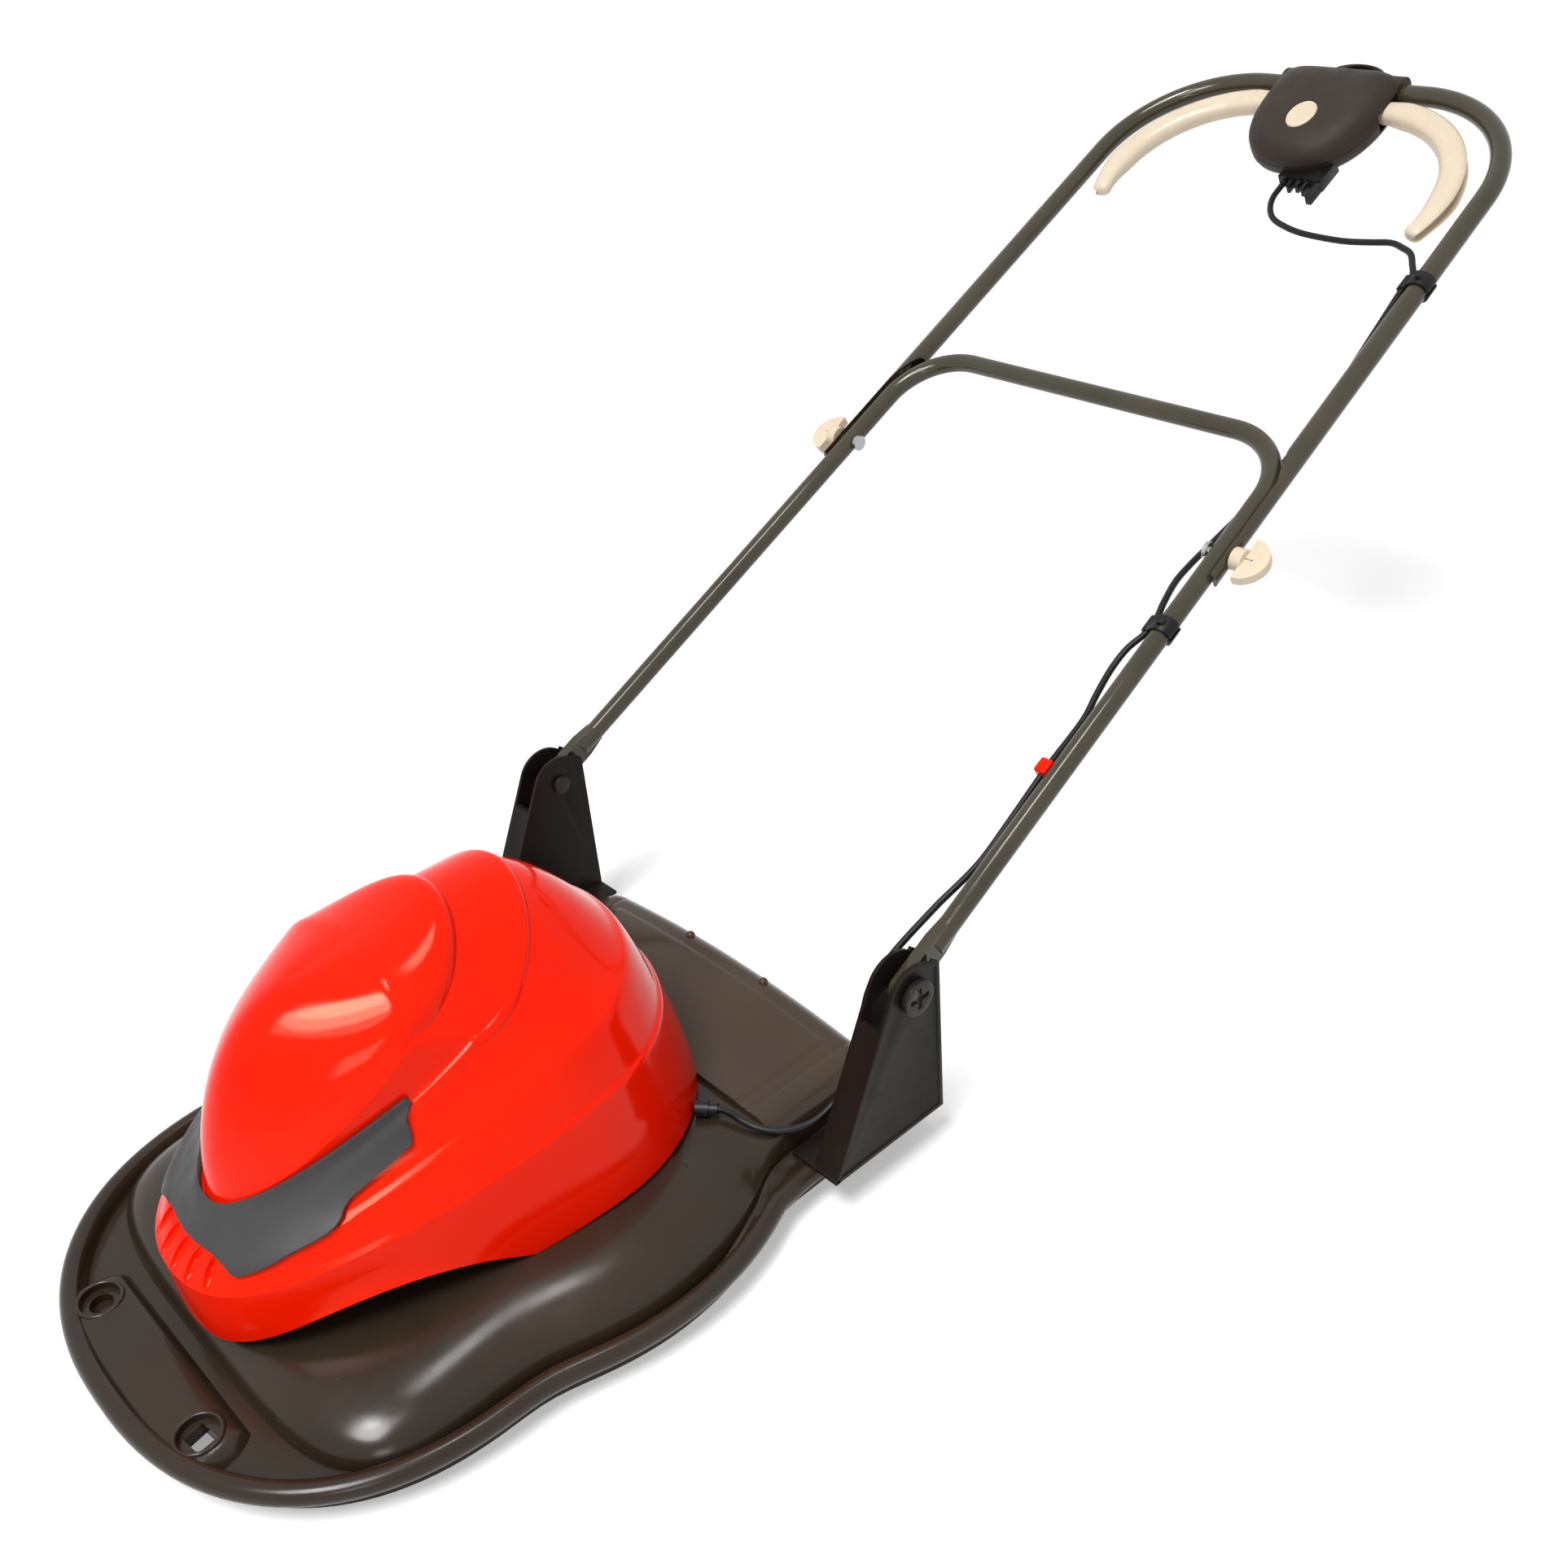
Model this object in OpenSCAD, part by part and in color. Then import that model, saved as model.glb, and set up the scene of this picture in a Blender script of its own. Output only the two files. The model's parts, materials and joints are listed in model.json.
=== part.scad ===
// Hover mower with a boat-shaped deck, a tiered motor hood and a folding tube handle.
// Millimetres. X runs across the mower, Y from the nose to the handle, Z up from the ground.

/* [Deck] */
// Radius of the rim over the blade circle
bulge_r = 232; // [225:1:245]
// Half width of the nose
nose_half = 211; // [200:1:220]
// How far the widest part of the nose lies in front of the motor
nose_ahead = 126; // [110:1:140]
// Distance from the motor to the front of the rim
nose_reach = 324; // [310:1:340]
// Half width of the tail between the brackets
tail_half = 204; // [200:1:210]
// Distance from the motor to the back of the rim
tail_reach = 254; // [250:1:270]
// Radius of the rolled rim
rim_r = 8; // [6:0.5:9]
// Height of the rim's centre line
rim_z = 25; // [22:1:30]
// Wall of the deck moulding
deck_wall = 3; // [2.5:0.1:4]
// How far the skirt stands inside the rim's outer edge
skirt_inset = 14; // [12:0.5:15]
// Height of the front tray
tray_z = 20; // [18:0.5:21]
// Height of the ledges that carry the brackets
ledge_z = 33; // [32:0.5:36]
// Height of the dome at the motor
dome_h = 57; // [54:1:62]
// Height of the dome behind the front tray
dome_front_h = 43; // [38:1:46]
// Height of the dome at the back
dome_rear_h = 49; // [44:1:52]
// Depth of the front tray, from the rim's front to the foot of the dome
tray_depth = 72; // [66:1:79]
// How far the dome's foot lies inside the rim's outer edge
dome_inset = 20; // [18:0.5:24]
// Width of the dome's rounded shoulder
shoulder_w = 60; // [50:1:66]
// Radius of the hole under the motor
motor_hole_r = 40; // [30:1:44]

/* [Front pod] */
// Half distance between the two sockets
socket_x = 77; // [70:1:84]
// How far the sockets lie behind the rim's front
socket_inset = 36; // [34:1:40]
// Radius of the pod's foot
pod_r = 26; // [24:0.5:27]
// Height of the pod's top
pod_z = 31; // [29:0.5:34]
// Radius of the round recesses
socket_r = 17; // [14:0.5:19]
// Side of the square hole
socket_square = 17; // [12:0.5:19]

/* [Motor hood] */
// Radius of the hood's lower edge
hood_base_r = 144; // [138:1:146]
// Height of the lower edge at the sides and back
hood_base_z = 60; // [59:0.5:66]
// Height of the lower edge at the front
hood_base_front_z = 47; // [46:0.5:52]
// Radius of the skirt tier's upper edge
hood_skirt_r = 138; // [130:1:140]
// Height of the skirt tier at the back
hood_skirt_z = 145; // [135:1:155]
// Radius of the middle tier's upper edge
hood_tier_r = 118; // [110:1:122]
// Height of the middle tier at the back
hood_tier_z = 186; // [178:1:192]
// Radius of the crown's lower edge
hood_crown_r = 91; // [86:1:98]
// Height of the crown's lower edge at the back
hood_crown_z = 226; // [218:1:232]
// Height of the hood's top
hood_top_z = 268; // [262:1:274]
// Distance from the motor to the front of the hood
hood_reach = 251; // [245:1:256]
// Wall of the hood
hood_wall = 3; // [2.5:0.1:3.5]
// Width of each step between the tiers
hood_step = 3.5; // [2:0.5:5]
// Number of vent flutes in the hood's front
flute_count = 5; // [3:1:7]
// Thickness of the visor trim
visor_t = 3; // [2:0.5:4]

/* [Motor and blade] */
// Shaft radius
shaft_r = 6; // [5:0.5:7]
// Outer radius of the motor case
case_r = 52; // [48:1:58]
// Height of the motor case above the deck
case_h = 103; // [95:1:110]
// Outer radius of the bearings
bearing_r = 14; // [12:0.5:16]
// Width of the bearings
bearing_w = 9; // [7:0.5:10]
// Impeller radius
impeller_r = 125; // [110:1:130]
// Number of impeller vanes
vane_count = 12; // [8:1:14]
// Cutting width
blade_len = 360; // [330:2:370]
// Blade width
blade_w = 46; // [40:1:52]
// Blade thickness
blade_t = 3; // [2:0.5:3.5]
// Height of the blade's underside
blade_z = 14; // [13:0.5:15]

/* [Brackets] */
// Height of the handle pivot
pivot_z = 156; // [150:1:165]
// How far the handle pivot lies in front of the rim's back
pivot_inset = 28; // [26:1:32]
// Radius of the bracket's head
bracket_head_r = 26; // [22:0.5:27]
// Length of the bracket's foot
bracket_length = 114; // [106:1:118]
// Bracket plate thickness
plate_t = 3; // [2.5:0.1:4]
// Gap between the two plates
plate_gap = 18; // [17.6:0.1:20]
// Radius of the pivot bolts and fold bolts
bolt_r = 4; // [3:0.5:4.5]

/* [Handle] */
// Angle of the handle above the ground when it is let down
handle_angle = 27.8; // [24:0.2:32]
// Half distance between the handle legs at the pivot
leg_x = 213; // [212.5:0.1:213.5]
// How far each leg leans inwards, in degrees
leg_lean = 1.25; // [0.8:0.05:1.6]
// Outside diameter of the lower tube
lower_d = 16.3; // [15.5:0.1:17]
// Outside diameter of the upper tube
upper_d = 17.6; // [17:0.1:18.4]
// Wall of both tubes
tube_wall = 1.4; // [1:0.1:1.8]
// Distance from the pivot to the fold bolts
fold_s = 426; // [415:1:435]
// Distance from the pivot to the lower crossbar
cross_s = 545; // [538:1:552]
// Bend radius of the lower crossbar
cross_bend = 60; // [55:1:65]
// Distance from the pivot to the top bar
top_s = 952; // [944:1:962]
// Bend radius of the top bar
top_bend = 118; // [114:1:124]
// How far the upper legs lie outside the lower legs
leg_step = 4.5; // [4:0.1:5]

/* [Switch box] */
// Radius of the switch box
box_r = 58; // [56:1:60]
// Half width of the switch box at the bar
box_half = 61; // [59:0.5:64]
// Height of the cover above the handle plane
cover_h = 28; // [27:0.5:30]
// Depth of the base below the handle plane
base_h = 22; // [20:0.5:24]
// Wall of the switch box
box_wall = 2.5; // [2:0.1:3]
// Radius of the levers' curve
lever_r = 110; // [106:1:111]
// Width of the levers
lever_w = 22; // [18:0.5:23]
// Thickness of the levers
lever_t = 15; // [13:0.5:15]
// Length of the lock-off button
button_len = 34; // [28:0.5:36]
// Width of the lock-off button
button_w = 27; // [22:0.5:28]

/* [Fits] */
// Radial clearance of turning fits
run_fit = 0.05; // [0.02:0.01:0.1]
// Clearance between parts that only sit together
seat_fit = 0.2; // [0.1:0.05:0.3]
// Clearance between parts that move past each other
pass_fit = 0.35; // [0.3:0.05:0.5]
// Diameter of the switch lead
lead_d = 5.5; // [5:0.1:6]

/* [Hidden] */
$fn = 48;

deck_colour = [0.29, 0.25, 0.22];
trim_colour = [0.25, 0.25, 0.25];
hood_colour = [0.93, 0.16, 0.04];
tube_colour = [0.36, 0.34, 0.28];
cream_colour = [0.93, 0.86, 0.74];
black_colour = [0.07, 0.07, 0.07];
steel_colour = [0.66, 0.67, 0.68];
copper_colour = [0.72, 0.42, 0.2];

// The hook behind the switch box is the rearmost piece, and the rim's front the foremost.
hook_r = 18;
hook_tube = 3.5;
hook_n = 8;
box_back = top_s + 11;
pivot_reach = tail_reach - pivot_inset;
rear_reach = pivot_reach + (box_back + hook_r) * cos(handle_angle) - hook_n * sin(handle_angle) + hook_tube;
frame_y = (nose_reach - rear_reach) / 2;

module placed() {
    translate([0, frame_y, 0]) children();
}

module sided(side) {
    if (side < 0) mirror([1, 0, 0]) children();
    else children();
}

// Handle frame: x across, y along the handle from the pivot, z square to the handle plane.
module on_handle() {
    placed() translate([0, pivot_reach, pivot_z]) rotate([handle_angle, 0, 0]) children();
}

module rod_x(r, from, to) {
    translate([from, 0, 0]) rotate([0, 90, 0]) cylinder(r = r, h = to - from);
}

module rod_y(r, from, to) {
    translate([0, from, 0]) rotate([-90, 0, 0]) cylinder(r = r, h = to - from);
}

module ring(outer, inner, h) {
    difference() {
        cylinder(r = outer, h = h);
        translate([0, 0, -1]) cylinder(r = inner, h = h + 2);
    }
}

module slot(w, len) {
    square([w, len - w], center = true);
    for (s = [-1, 1]) translate([0, s * (len - w) / 2]) circle(d = w);
}

// A skin over rings of points that all have the same count. Closed joins the last ring to the first.
module skin(rings, closed = false) {
    n = len(rings[0]);
    m = len(rings);
    last = closed ? m - 1 : m - 2;
    sides = [for (k = [0 : last], j = [0 : n - 1], half = [0, 1])
        let (a = k * n, b = ((k + 1) % m) * n, i = (j + 1) % n)
        half == 0 ? [a + j, b + j, b + i] : [a + j, b + i, a + i]];
    caps = closed ? [] : [for (j = [1 : n - 2], end = [0, 1])
        end == 0 ? [0, j, j + 1] : [(m - 1) * n, (m - 1) * n + j + 1, (m - 1) * n + j]];
    polyhedron([for (r = rings, p = r) p], concat(sides, caps), convexity = 8);
}

// Points of a closed plan, front to back on the right and back again on the left.
steps = 28;
function level(i, front, back) = front + (back - front) * (1 - cos(180 * i / steps)) / 2;
function mix(a, b, t) = a + (b - a) * t;
function ramp(y, from, to) = max(0, min(1, (y - from) / (to - from)));

// Deck plan: a rounded nose, a disc over the blade and a square tail, blended into one outline.
blend_pow = 40;
tail_pow = 10;
function nose_w(y, half, front, p) = y > 0 ? 0
    : half * pow(max(0, 1 - pow(max(0, (-nose_ahead - y) / (-nose_ahead - front)), p)), 1 / p);
function disc_w(y, r) = abs(y) < r ? sqrt(r * r - y * y) : 0;
function tail_w(y, half, back) = half * ramp(y, 20, 110) * pow(max(0, 1 - pow(max(0, y) / back, tail_pow)), 1 / tail_pow);
function blend(a, b, c) = let (top = max(a, b, c, 0.001))
    top * pow(pow(a / top, blend_pow) + pow(b / top, blend_pow) + pow(c / top, blend_pow), 1 / blend_pow);
function deck_w(y, front, back, nose, p, r, tail) =
    y <= front || y >= back ? 0 : blend(nose_w(y, nose, front, p), disc_w(y, r), tail_w(y, tail, back));
function deck_plan(front, back, nose, p, r, tail) = [
    for (i = [0 : steps]) let (y = level(i, front, back)) [deck_w(y, front, back, nose, p, r, tail), y],
    for (i = [steps - 1 : -1 : 1]) let (y = level(i, front, back)) [-deck_w(y, front, back, nose, p, r, tail), y]];
function disc_plan(r) = [
    for (i = [0 : steps]) [r * sin(180 * i / steps), level(i, -r, r)],
    for (i = [steps - 1 : -1 : 1]) [-r * sin(180 * i / steps), level(i, -r, r)]];

crease_reach = nose_reach - tray_depth;
socket_reach = nose_reach - socket_inset;
nose_pow = 2.35;
wall_pow = 4;
tray_run = 60;
front_run = 28;
rear_lip = 6;
rear_run = 4;
ledge_half = 176;
ledge_run = 6;
seat_r = case_r + 32;
seat_z = dome_h + 0.6;
function tray_h(y) = mix(tray_z, ledge_z, ramp(y, 40, 40 + tray_run));
function dome_z(y) = y < 0 ? dome_h - (dome_h - dome_front_h) * pow(y / crease_reach, 2)
    : dome_h - (dome_h - dome_rear_h) * max(0, y - seat_r) / (tail_reach - seat_r);
function rim_ring(d, z) = [for (p = deck_plan(-nose_reach + d, tail_reach - d, nose_half - d, nose_pow,
    bulge_r - d, tail_half - d)) [p[0], p[1], z]];
// Dome rings run from the foot, t = 0, to the flat top, t = 1; off moves the ring inside the wall.
function dome_ring(t, off) = let (s = 1 - cos(90 * t))
    [for (p = deck_plan(-crease_reach + front_run * s + off, tail_reach - rear_lip - rear_run * s - off,
        nose_half - dome_inset - shoulder_w * s - off, wall_pow, bulge_r - dome_inset - shoulder_w * s - off,
        ledge_half - ledge_run * s - off))
        [p[0], p[1], mix(tray_h(p[1]), dome_z(p[1]), sin(90 * t)) - off]];
function disc_ring(r, z) = [for (p = disc_plan(r)) [p[0], p[1], z]];
rim_turns = [-135, -90, -45, 0, 45, 90, 135];
deck_rings = concat(
    [rim_ring(skirt_inset, 0)],
    [for (a = rim_turns) rim_ring(rim_r * (1 - cos(a)), rim_z + rim_r * sin(a))],
    [for (t = [0, 0.2, 0.4, 0.6, 0.8, 1]) dome_ring(t, 0)],
    [disc_ring(seat_r, seat_z), disc_ring(motor_hole_r, seat_z),
        disc_ring(motor_hole_r, seat_z - deck_wall), disc_ring(seat_r, seat_z - deck_wall)],
    [for (t = [1, 0.66, 0.33, 0]) dome_ring(t, deck_wall)],
    [rim_ring(skirt_inset + deck_wall, tray_z - deck_wall), rim_ring(skirt_inset + deck_wall, 0)]);

module pod_body() {
    top_r = pod_r - 5;
    for (s = [-1, 1]) translate([s * socket_x, -socket_reach, tray_z - 1])
        cylinder(r1 = pod_r, r2 = top_r, h = pod_z - tray_z + 1);
    translate([-socket_x, -socket_reach, tray_z - 1]) rotate([90, 0, 90]) linear_extrude(2 * socket_x)
        polygon([[-pod_r, 0], [pod_r, 0], [top_r, pod_z - tray_z + 1], [-top_r, pod_z - tray_z + 1]]);
}

module deck_shell() {
    recess = 6;
    color(deck_colour) placed() difference() {
        union() {
            skin(deck_rings, closed = true);
            pod_body();
        }
        for (s = [-1, 1]) translate([s * socket_x, -socket_reach, pod_z - recess]) cylinder(r = socket_r, h = recess + 1);
        translate([socket_x, -socket_reach, tray_z]) cube([socket_square, socket_square, 30], center = true);
        translate([-socket_x, -socket_reach, tray_z + 1]) ring(socket_r - 5, 4, pod_z);
    }
}

// The panel lies on the flat back of the dome and is cut round the hood.
cover_front = 126;
cover_slope = atan((dome_h - dome_rear_h) / (tail_reach - seat_r));
hood_y = 12;
module rear_cover() {
    half = ledge_half - ledge_run - 4;
    back = tail_reach - rear_lip - rear_run - 4;
    color(deck_colour * 1.05) placed() translate([0, seat_r, seat_z + seat_fit]) rotate([-cover_slope, 0, 0])
        translate([0, -seat_r, 0]) difference() {
            linear_extrude(3) difference() {
                translate([-half, cover_front]) square([2 * half, back - cover_front]);
                translate([0, hood_y]) circle(r = hood_base_r + 4);
            }
            for (s = [-1, 1]) translate([s * half, back, -1]) rotate(45) cube([24, 24, 10], center = true);
        }
}

// Where the straight line from a point meets a circle it touches, on the front side.
function touch(p, c, r) = let (v = p - c, d = norm(v), a = atan2(v[1], v[0]), b = acos(r / d))
    c + r * [cos(a - b), sin(a - b)];
bracket_back = pivot_reach + bracket_head_r;
bracket_front = bracket_back - bracket_length;
bracket_foot = ledge_z + seat_fit;
plate_in = leg_x - plate_gap / 2;
plate_out = leg_x + plate_gap / 2;

module plate_outline() {
    head = [pivot_reach, pivot_z];
    foot = [bracket_front, bracket_foot];
    translate(head) circle(r = bracket_head_r);
    polygon([foot, [bracket_back, bracket_foot], [bracket_back, pivot_z + bracket_head_r * 0.6],
        [bracket_back - 6, pivot_z + bracket_head_r * 0.8], head, touch(foot, head, bracket_head_r)]);
}

module upright(from, to) {
    translate([from, 0, 0]) rotate([90, 0, 90]) linear_extrude(to - from) children();
}

module bracket(side) {
    web_top = pivot_z - 14;
    color(deck_colour * 0.8) placed() sided(side) difference() {
        union() {
            upright(plate_out, plate_out + plate_t) plate_outline();
            upright(plate_in - plate_t, plate_in) plate_outline();
            upright(plate_in - plate_t, plate_out + plate_t) intersection() {
                difference() {
                    plate_outline();
                    translate([plate_t * 1.4, 0]) plate_outline();
                }
                translate([0, 0]) square([pivot_reach - 10, web_top]);
            }
            translate([ledge_half + 3, bracket_front, bracket_foot])
                cube([plate_out + plate_t - ledge_half - 3, bracket_back - bracket_front, plate_t]);
        }
        translate([0, pivot_reach, pivot_z]) rod_x(bolt_r + run_fit, 0, 300);
    }
}

module bracket_left() {
    bracket(-1);
}

module bracket_right() {
    bracket(1);
}

module pivot_bolt(side) {
    head_t = 5;
    head_r = 11;
    color(deck_colour * 0.9) placed() sided(side) translate([0, pivot_reach, pivot_z]) difference() {
        union() {
            rod_x(bolt_r, plate_in - plate_t - 4, plate_out + plate_t + head_t);
            rod_x(head_r, plate_out + plate_t + 0.05, plate_out + plate_t + head_t);
            rod_x(6, plate_in - plate_t - 4, plate_in - plate_t - 0.05);
        }
        for (a = [0, 90]) translate([plate_out + plate_t + head_t, 0, 0]) rotate([a, 0, 0])
            cube([4, 3, 2 * head_r - 8], center = true);
    }
}

module pivot_bolt_left() {
    pivot_bolt(-1);
}

module pivot_bolt_right() {
    pivot_bolt(1);
}

// Hood plan: a half disc behind the motor that tapers to a rounded front.
taper_pow = 1.8;
front_pow = 14;
function hood_w(y, r, c, front, taper, blunt) = y <= front || y >= c + r ? 0
    : y >= c ? sqrt(max(0, r * r - (y - c) * (y - c)))
    : let (u = (c - y) / (c - front))
        r * (1 - taper * pow(u, taper_pow)) * pow(1 - pow(u, blunt), 1 / 2.2);
// One tier edge: plan radius, centre, front and taper, its heights at the sides and front,
// its rise at the back and how blunt its front is.
function hood_ring(r, c, front, taper, side_z, front_z, rise, blunt) =
    let (half = [for (i = [0 : steps]) let (y = level(i, front, c + r)) [hood_w(y, r, c, front, taper, blunt), y,
        y < c ? mix(side_z, front_z, (c - y) / (c - front)) : side_z + rise * pow((y - c) / r, 2)]])
    [each half, for (i = [steps - 1 : -1 : 1]) [-half[i][0], half[i][1], half[i][2]]];
skirt_front_z = 93;
tier_front_z = 107;
crown_front_z = 127;
tier_front = 237;
crown_front = 218;
// Tier edges from the lower edge upwards; off moves an edge inside the wall.
function tier(r, c, reach, taper, side_z, front_z, off, rise = 0, blunt = front_pow) =
    hood_ring(r - off, c, -reach + off, taper, side_z - off, front_z - off, rise, blunt);
// The second tier swells over the skirt like a cushion, up to the dome's foot.
tier_c = hood_y - 14;
tier_rise = 12;
swell = 16.5;
function swell_ring(t, off) = let (out = cos(86 * t) - 0.07 * t, up = sin(86 * t))
    tier(hood_tier_r + swell * out, mix(hood_y - 2, tier_c, t), mix(tier_front, hood_reach - 3, out), mix(0.57, 0.5, t),
        mix(hood_skirt_z + 3, hood_tier_z, up), mix(skirt_front_z + 4, tier_front_z, up), off, tier_rise * up);
// The dome's rings slide forwards and rise at the back, up to the band round the bubble.
dome_c = -60;
dome_r = hood_crown_r - 4;
dome_side_z = hood_crown_z - 9;
dome_rise = hood_top_z - dome_side_z - tier_rise;
dome_end = 0.8;
function dome_tier(t, off) = tier(mix(hood_tier_r - hood_step + 0.5, dome_r, t), mix(tier_c - 1, dome_c, pow(t, 1.3)),
    mix(tier_front - 4, crown_front, t), mix(0.5, 0.6, t), mix(hood_tier_z + 3, dome_side_z, pow(t, 0.8)),
    mix(tier_front_z + 2, crown_front_z, t), off, tier_rise + dome_rise * pow(sin(90 * t), 1.1) - 4 * t,
    mix(front_pow, 5, t));
// The band ends at the foot of the bubble, which slopes down to the front.
crown_c = -86;
crown_r = hood_crown_r - 11;
crown_side_z = hood_crown_z + 1;
crown_rise = 39;
function crown_ring(off) =
    tier(crown_r, crown_c, crown_front - 4, 0.58, crown_side_z, crown_front_z + 3, off, crown_rise, 5);
function bubble_ring(a, off) = let (s = 1 - cos(a)) tier((crown_r - 3) * cos(a) + 1, crown_c + 14 * s,
    crown_front - 6 - 95 * s, 0.58 - 0.2 * s, crown_side_z + 2 + (hood_top_z - crown_side_z - 4) * sin(a),
    crown_front_z + 5 + (hood_top_z - 12 - crown_front_z) * pow(sin(a), 1.25), off,
    (crown_rise - 2) * pow(cos(a), 2), 5);
hood_out = concat(
    [tier(hood_base_r, hood_y, hood_reach - 1, 0.55, hood_base_z, hood_base_front_z, 0),
        tier(hood_base_r - 1, hood_y, hood_reach, 0.55, mix(hood_base_z, hood_skirt_z, 0.5),
            mix(hood_base_front_z, skirt_front_z, 0.5), 0),
        tier(hood_skirt_r, hood_y - 1, hood_reach + 1, 0.56, hood_skirt_z, skirt_front_z, 0),
        for (t = [0, 0.25, 0.5, 0.75, 1]) swell_ring(t, 0)],
    [for (t = [0 : 0.2 : dome_end]) dome_tier(t, 0)],
    [crown_ring(0)],
    [for (a = [0, 16, 32, 46, 60, 72, 82]) bubble_ring(a, 0)]);
hood_in = concat(
    [for (a = [68, 40, 10]) bubble_ring(a, hood_wall)],
    [crown_ring(hood_wall + 1)],
    [for (t = [0.7, 0.4, 0.1]) dome_tier(t, hood_wall)],
    [swell_ring(0.5, hood_wall), swell_ring(0, hood_wall),
        tier(hood_base_r - hood_wall, hood_y, hood_reach - 1 - hood_wall, 0.55, hood_base_z, hood_base_front_z, 0)]);

// A trim that lies on the tiers round the hood's front, up to the foot of the bubble, with slanted ends.
visor_span = 12;
visor_gap = 0.8;
visor_ends = [0.7, 0.78, 0.8, 0.88, 0.96, 1];
function visor_row(lift) = [swell_ring(0.45, -lift), swell_ring(1, -lift), dome_tier(0, -lift), dome_tier(0.4, -lift),
    dome_tier(dome_end, -lift), crown_ring(-lift)];
function ring_at(ring, f) = let (n = len(ring), a = floor(f), t = f - a)
    ring[(a + n) % n] * (1 - t) + ring[(a + 1 + n) % n] * t;
module visor_body(low_lift, top_lift) {
    top = visor_row(top_lift);
    low = visor_row(low_lift);
    last = len(top) - 1;
    bands = [for (k = [-visor_span : visor_span]) [
        for (j = [0 : last]) ring_at(low[j], k * visor_ends[j]),
        for (j = [last : -1 : 0]) ring_at(top[j], k * visor_ends[j])]];
    skin(bands);
}

module hood_visor() {
    color(trim_colour) placed() visor_body(visor_gap, visor_gap + visor_t);
}

gland_at = [118, 106, 62];
gland_dir = 40;
module gland_axis() {
    translate(gland_at) rotate([0, 0, gland_dir]) children();
}

module hood_posts() {
    post_r = 6;
    post_gap = 0.6;
    for (s = [-1, 1]) translate([s * (hood_base_r - 8), hood_y + 8, dome_z(20) + post_gap]) cylinder(r = post_r, h = 40);
    translate([0, hood_y + hood_base_r - 8, dome_z(hood_y + hood_base_r - 8) + post_gap]) cylinder(r = post_r, h = 40);
}

// The lower edge arches up on both sides behind the front.
arch_reach = 147;
arch_z = 79;
arch_r = 172;
module motor_hood() {
    pitch = 13;
    color(hood_colour) placed() difference() {
        union() {
            skin(concat(hood_in, hood_out));
            hood_posts();
        }
        for (k = [0 : flute_count - 1]) translate([(k - (flute_count - 1) / 2) * pitch, -hood_reach - 4, skirt_front_z - 25])
            rotate([-17, 0, 0]) cylinder(r = 4, h = 36);
        translate([0, -arch_reach, arch_z - arch_r]) rod_x(arch_r, -hood_base_r - 10, hood_base_r + 10);
        gland_axis() rod_x(6 + seat_fit, -20, 20);
    }
}

// Motor: case on the deck's seat, cap above, field stack and brushes inside, rotor on two bearings.
case_wall = 2.5;
case_floor = 4;
case_top = seat_z + case_h;
stack_low = seat_z + 23;
stack_h = 45;
module motor_case() {
    flange_r = case_r + 24;
    boss_r = bearing_r + 6;
    color([0.5, 0.5, 0.52]) placed() translate([0, 0, seat_z]) difference() {
        union() {
            cylinder(r = flange_r, h = case_floor);
            cylinder(r = case_r, h = case_h);
            translate([0, 0, -10]) cylinder(r = boss_r, h = 12);
        }
        translate([0, 0, case_floor]) cylinder(r = case_r - case_wall, h = case_h);
        translate([0, 0, -11]) cylinder(r = shaft_r + 3, h = 30);
        translate([0, 0, -11]) cylinder(r = bearing_r + 0.02, h = 1 + bearing_w);
        for (a = [45 : 90 : 315]) rotate(a) translate([flange_r - 8, 0, -1]) cylinder(r = 2.6, h = case_floor + 2);
    }
}

module motor_cap() {
    hub_h = bearing_w + 3;
    color([0.5, 0.5, 0.52]) placed() translate([0, 0, case_top]) difference() {
        union() {
            cylinder(r = case_r, h = 5);
            cylinder(r = bearing_r + 4, h = hub_h);
        }
        translate([0, 0, -1]) cylinder(r = shaft_r + 3, h = hub_h + 2);
        translate([0, 0, -1]) cylinder(r = bearing_r + 0.02, h = bearing_w + 1);
        for (a = [0 : 60 : 300]) rotate(a) translate([case_r - 17, 0, -1]) cylinder(r = 6, h = 7);
    }
}

module field_stack() {
    color(copper_colour) placed() translate([0, 0, stack_low]) {
        ring(case_r - case_wall - 0.05, case_r - 21, stack_h);
        translate([0, 0, -9]) ring(case_r - 6, case_r - 19, 9);
        translate([0, 0, stack_h]) ring(case_r - 6, case_r - 19, 9);
    }
}

module bearing(z) {
    color(steel_colour) placed() translate([0, 0, z]) ring(bearing_r, shaft_r + run_fit, bearing_w);
}

module bearing_upper() {
    bearing(case_top);
}

module bearing_lower() {
    bearing(seat_z - 10);
}

brush_z = stack_low + stack_h + 17;
comm_r = 13;
module brush(side) {
    color([0.75, 0.6, 0.25]) placed() sided(side)
        translate([comm_r + pass_fit, -5, brush_z]) cube([case_r - case_wall - 0.6 - comm_r - pass_fit, 10, 9]);
}

module brush_left() {
    brush(-1);
}

module brush_right() {
    brush(1);
}

module terminal_block() {
    color([0.85, 0.85, 0.82]) placed() translate([86, 78, seat_z + seat_fit]) rotate(gland_dir) translate([-14, -8, 0])
        difference() {
            cube([22, 16, 13]);
            for (y = [4, 12]) translate([11, y, 5]) cylinder(r = 2, h = 10);
        }
}

module lead_gland() {
    color(black_colour) placed() gland_axis() difference() {
        union() {
            rod_x(6, -5, 5);
            rod_x(4.6, 4, 12);
        }
        rod_x(lead_d / 2 + seat_fit / 2, -6, 14);
    }
}

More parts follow.
